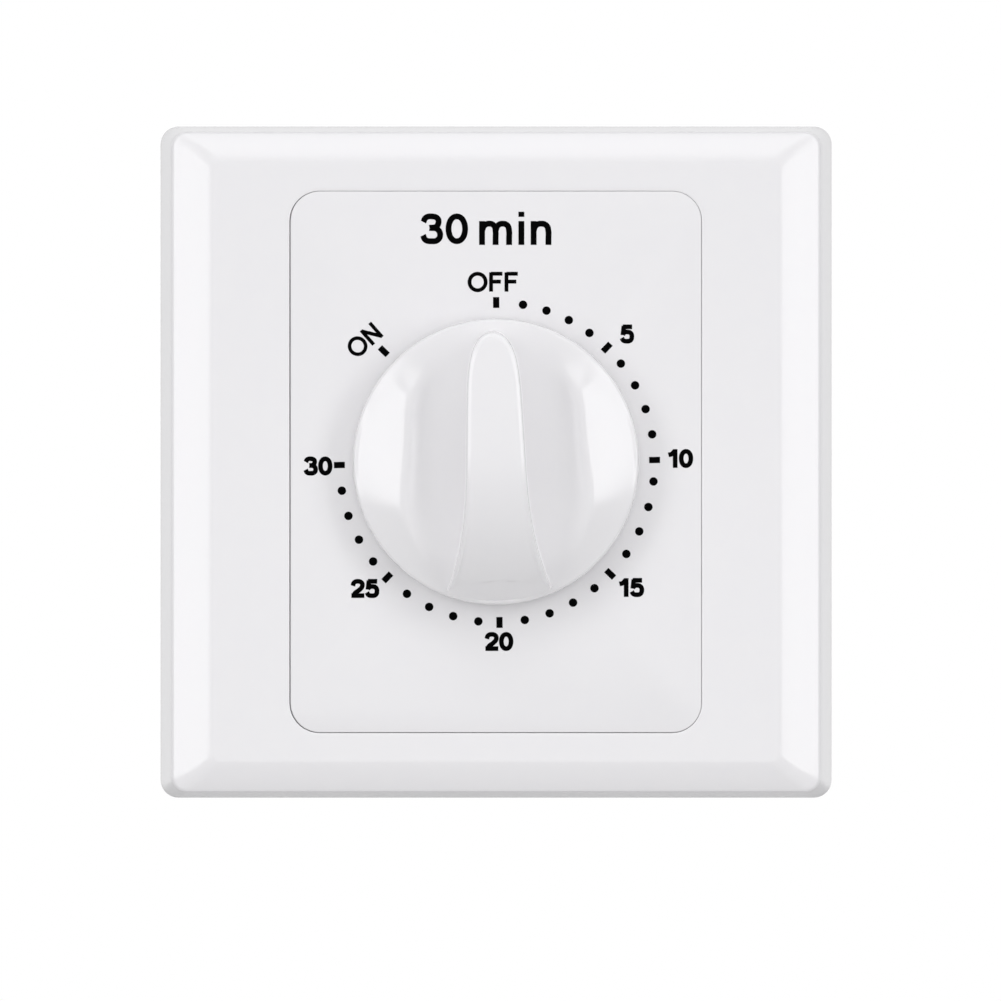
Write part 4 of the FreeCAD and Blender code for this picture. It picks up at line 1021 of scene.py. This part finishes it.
# Mounting plate, rear housing and insulator plate: satin mouldings from spark-eroded moulds, the
# plate in white, the closed housing in pale grey and the insulator, which it hides, in brown.
# Their edges are slightly rounded by the mould.


def satin_plastic(name, dark, light, roughness):
    """Moulded plastic with the fine, even grain of a spark-eroded mould."""
    material, tree, shader, place = new_material(name)
    # the real grain is finer; it is drawn this coarse to show
    grain_width, cloud_width = 0.25 * MM, 6 * MM
    grain = add_node(
        tree, "ShaderNodeTexNoise", values={"Scale": 1 / grain_width, "Detail": 2.0},
        links={"Vector": place},
    )
    cloud = add_node(
        tree, "ShaderNodeTexNoise", values={"Scale": 1 / cloud_width, "Detail": 3.0},
        links={"Vector": place},
    )
    shade = add_node(
        tree, "ShaderNodeMix", {"data_type": "RGBA"},
        {COLOUR_A: linear(dark), COLOUR_B: linear(light)}, {"Factor": cloud.outputs["Fac"]},
    )
    skin = add_node(
        tree, "ShaderNodeBump", values={"Strength": 0.35, "Distance": 0.02 * MM},
        links={"Height": grain.outputs["Fac"]},
    )
    tree.links.new(shade.outputs[MIXED_COLOUR], shader.inputs["Base Color"])
    tree.links.new(skin.outputs["Normal"], shader.inputs["Normal"])
    shader.inputs["Roughness"].default_value = roughness
    shader.inputs["IOR"].default_value = 1.55
    return material


white_plate = satin_plastic("satin_white_polycarbonate", "#DFE0E2", "#E7E8EA", 0.48)
grey_housing = satin_plastic("satin_grey_polycarbonate", "#B4B7BA", "#BEC1C3", 0.52)
brown_insulator = satin_plastic("brown_phenolic", "#2B1B13", "#3A251A", 0.42)
# each moulding's material, the rounding of its edges in millimetres and its slot
mouldings = {
    "mounting_plate": (white_plate, 0.12, "plate_plastic"),
    "rear_housing": (grey_housing, 0.15, "housing_plastic"),
    "insulator_plate": (brown_insulator, 0.08, "insulator_plastic"),
}
for node, (material, width, slot_name) in mouldings.items():
    piece = softened(node, node + "_moulding", width)
    piece.data.materials.clear()
    piece.data.materials.append(material)
    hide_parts(node)
    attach(piece, "base")

# Clockwork and contacts: stamped brass wheels, zinc-plated steel plates and arbors, blued spring
# steel, a nylon cam, a bronze contact leaf and silver contact buttons, all closed in the housing.


def worked_metal(name, dark, light, roughness, stretch=(1, 1, 1)):
    """Sheet or turned metal with fine tool marks, stretched along one way where it was rolled."""
    material, tree, shader, place = new_material(name)
    turned = add_node(tree, "ShaderNodeMapping", values={"Scale": stretch}, links={"Vector": place})
    # the real tool marks are finer; they are drawn this coarse to show
    mark_width, stain_width, gloss_range = 0.12 * MM, 4 * MM, 0.07
    marks = add_node(
        tree, "ShaderNodeTexNoise", values={"Scale": 1 / mark_width, "Detail": 3.0},
        links={"Vector": turned.outputs["Vector"]},
    )
    stain = add_node(
        tree, "ShaderNodeTexNoise", values={"Scale": 1 / stain_width, "Detail": 4.0},
        links={"Vector": place},
    )
    shade = add_node(
        tree, "ShaderNodeMix", {"data_type": "RGBA"},
        {COLOUR_A: linear(dark), COLOUR_B: linear(light)}, {"Factor": stain.outputs["Fac"]},
    )
    gloss = add_node(
        tree, "ShaderNodeMapRange",
        values={"To Min": roughness - gloss_range, "To Max": roughness + gloss_range},
        links={"Value": marks.outputs["Fac"]},
    )
    skin = add_node(
        tree, "ShaderNodeBump", values={"Strength": 0.25, "Distance": 0.01 * MM},
        links={"Height": marks.outputs["Fac"]},
    )
    tree.links.new(shade.outputs[MIXED_COLOUR], shader.inputs["Base Color"])
    tree.links.new(gloss.outputs["Result"], shader.inputs["Roughness"])
    tree.links.new(skin.outputs["Normal"], shader.inputs["Normal"])
    shader.inputs["Metallic"].default_value = 1.0
    return material


rolled = (0.15, 1, 1)
metals = {
    "brass": worked_metal("stamped_brass", "#C79A4E", "#D9B166", 0.30, rolled),
    "zinc_steel": worked_metal("zinc_plated_steel", "#B9BCC0", "#C9CBCD", 0.32, rolled),
    "spring_steel": worked_metal("blued_spring_steel", "#4B5668", "#67707C", 0.28, rolled),
    "spring_bronze": worked_metal("rolled_phosphor_bronze", "#B98256", "#C99468", 0.30, rolled),
    "silver": worked_metal("contact_silver", "#DAD9D5", "#E6E5E2", 0.26),
}
cam_nylon = satin_plastic("natural_nylon", "#D9D4C4", "#E2DECF", 0.40)
for row in frame["record"]["subparts"]:
    node, slot_name = row["node"], row["material_slot"]
    material = metals.get(slot_name, cam_nylon if slot_name == "cam_plastic" else None)
    if material is not None:
        for slot in frame["nodes"][node].material_slots:
            slot.material = material
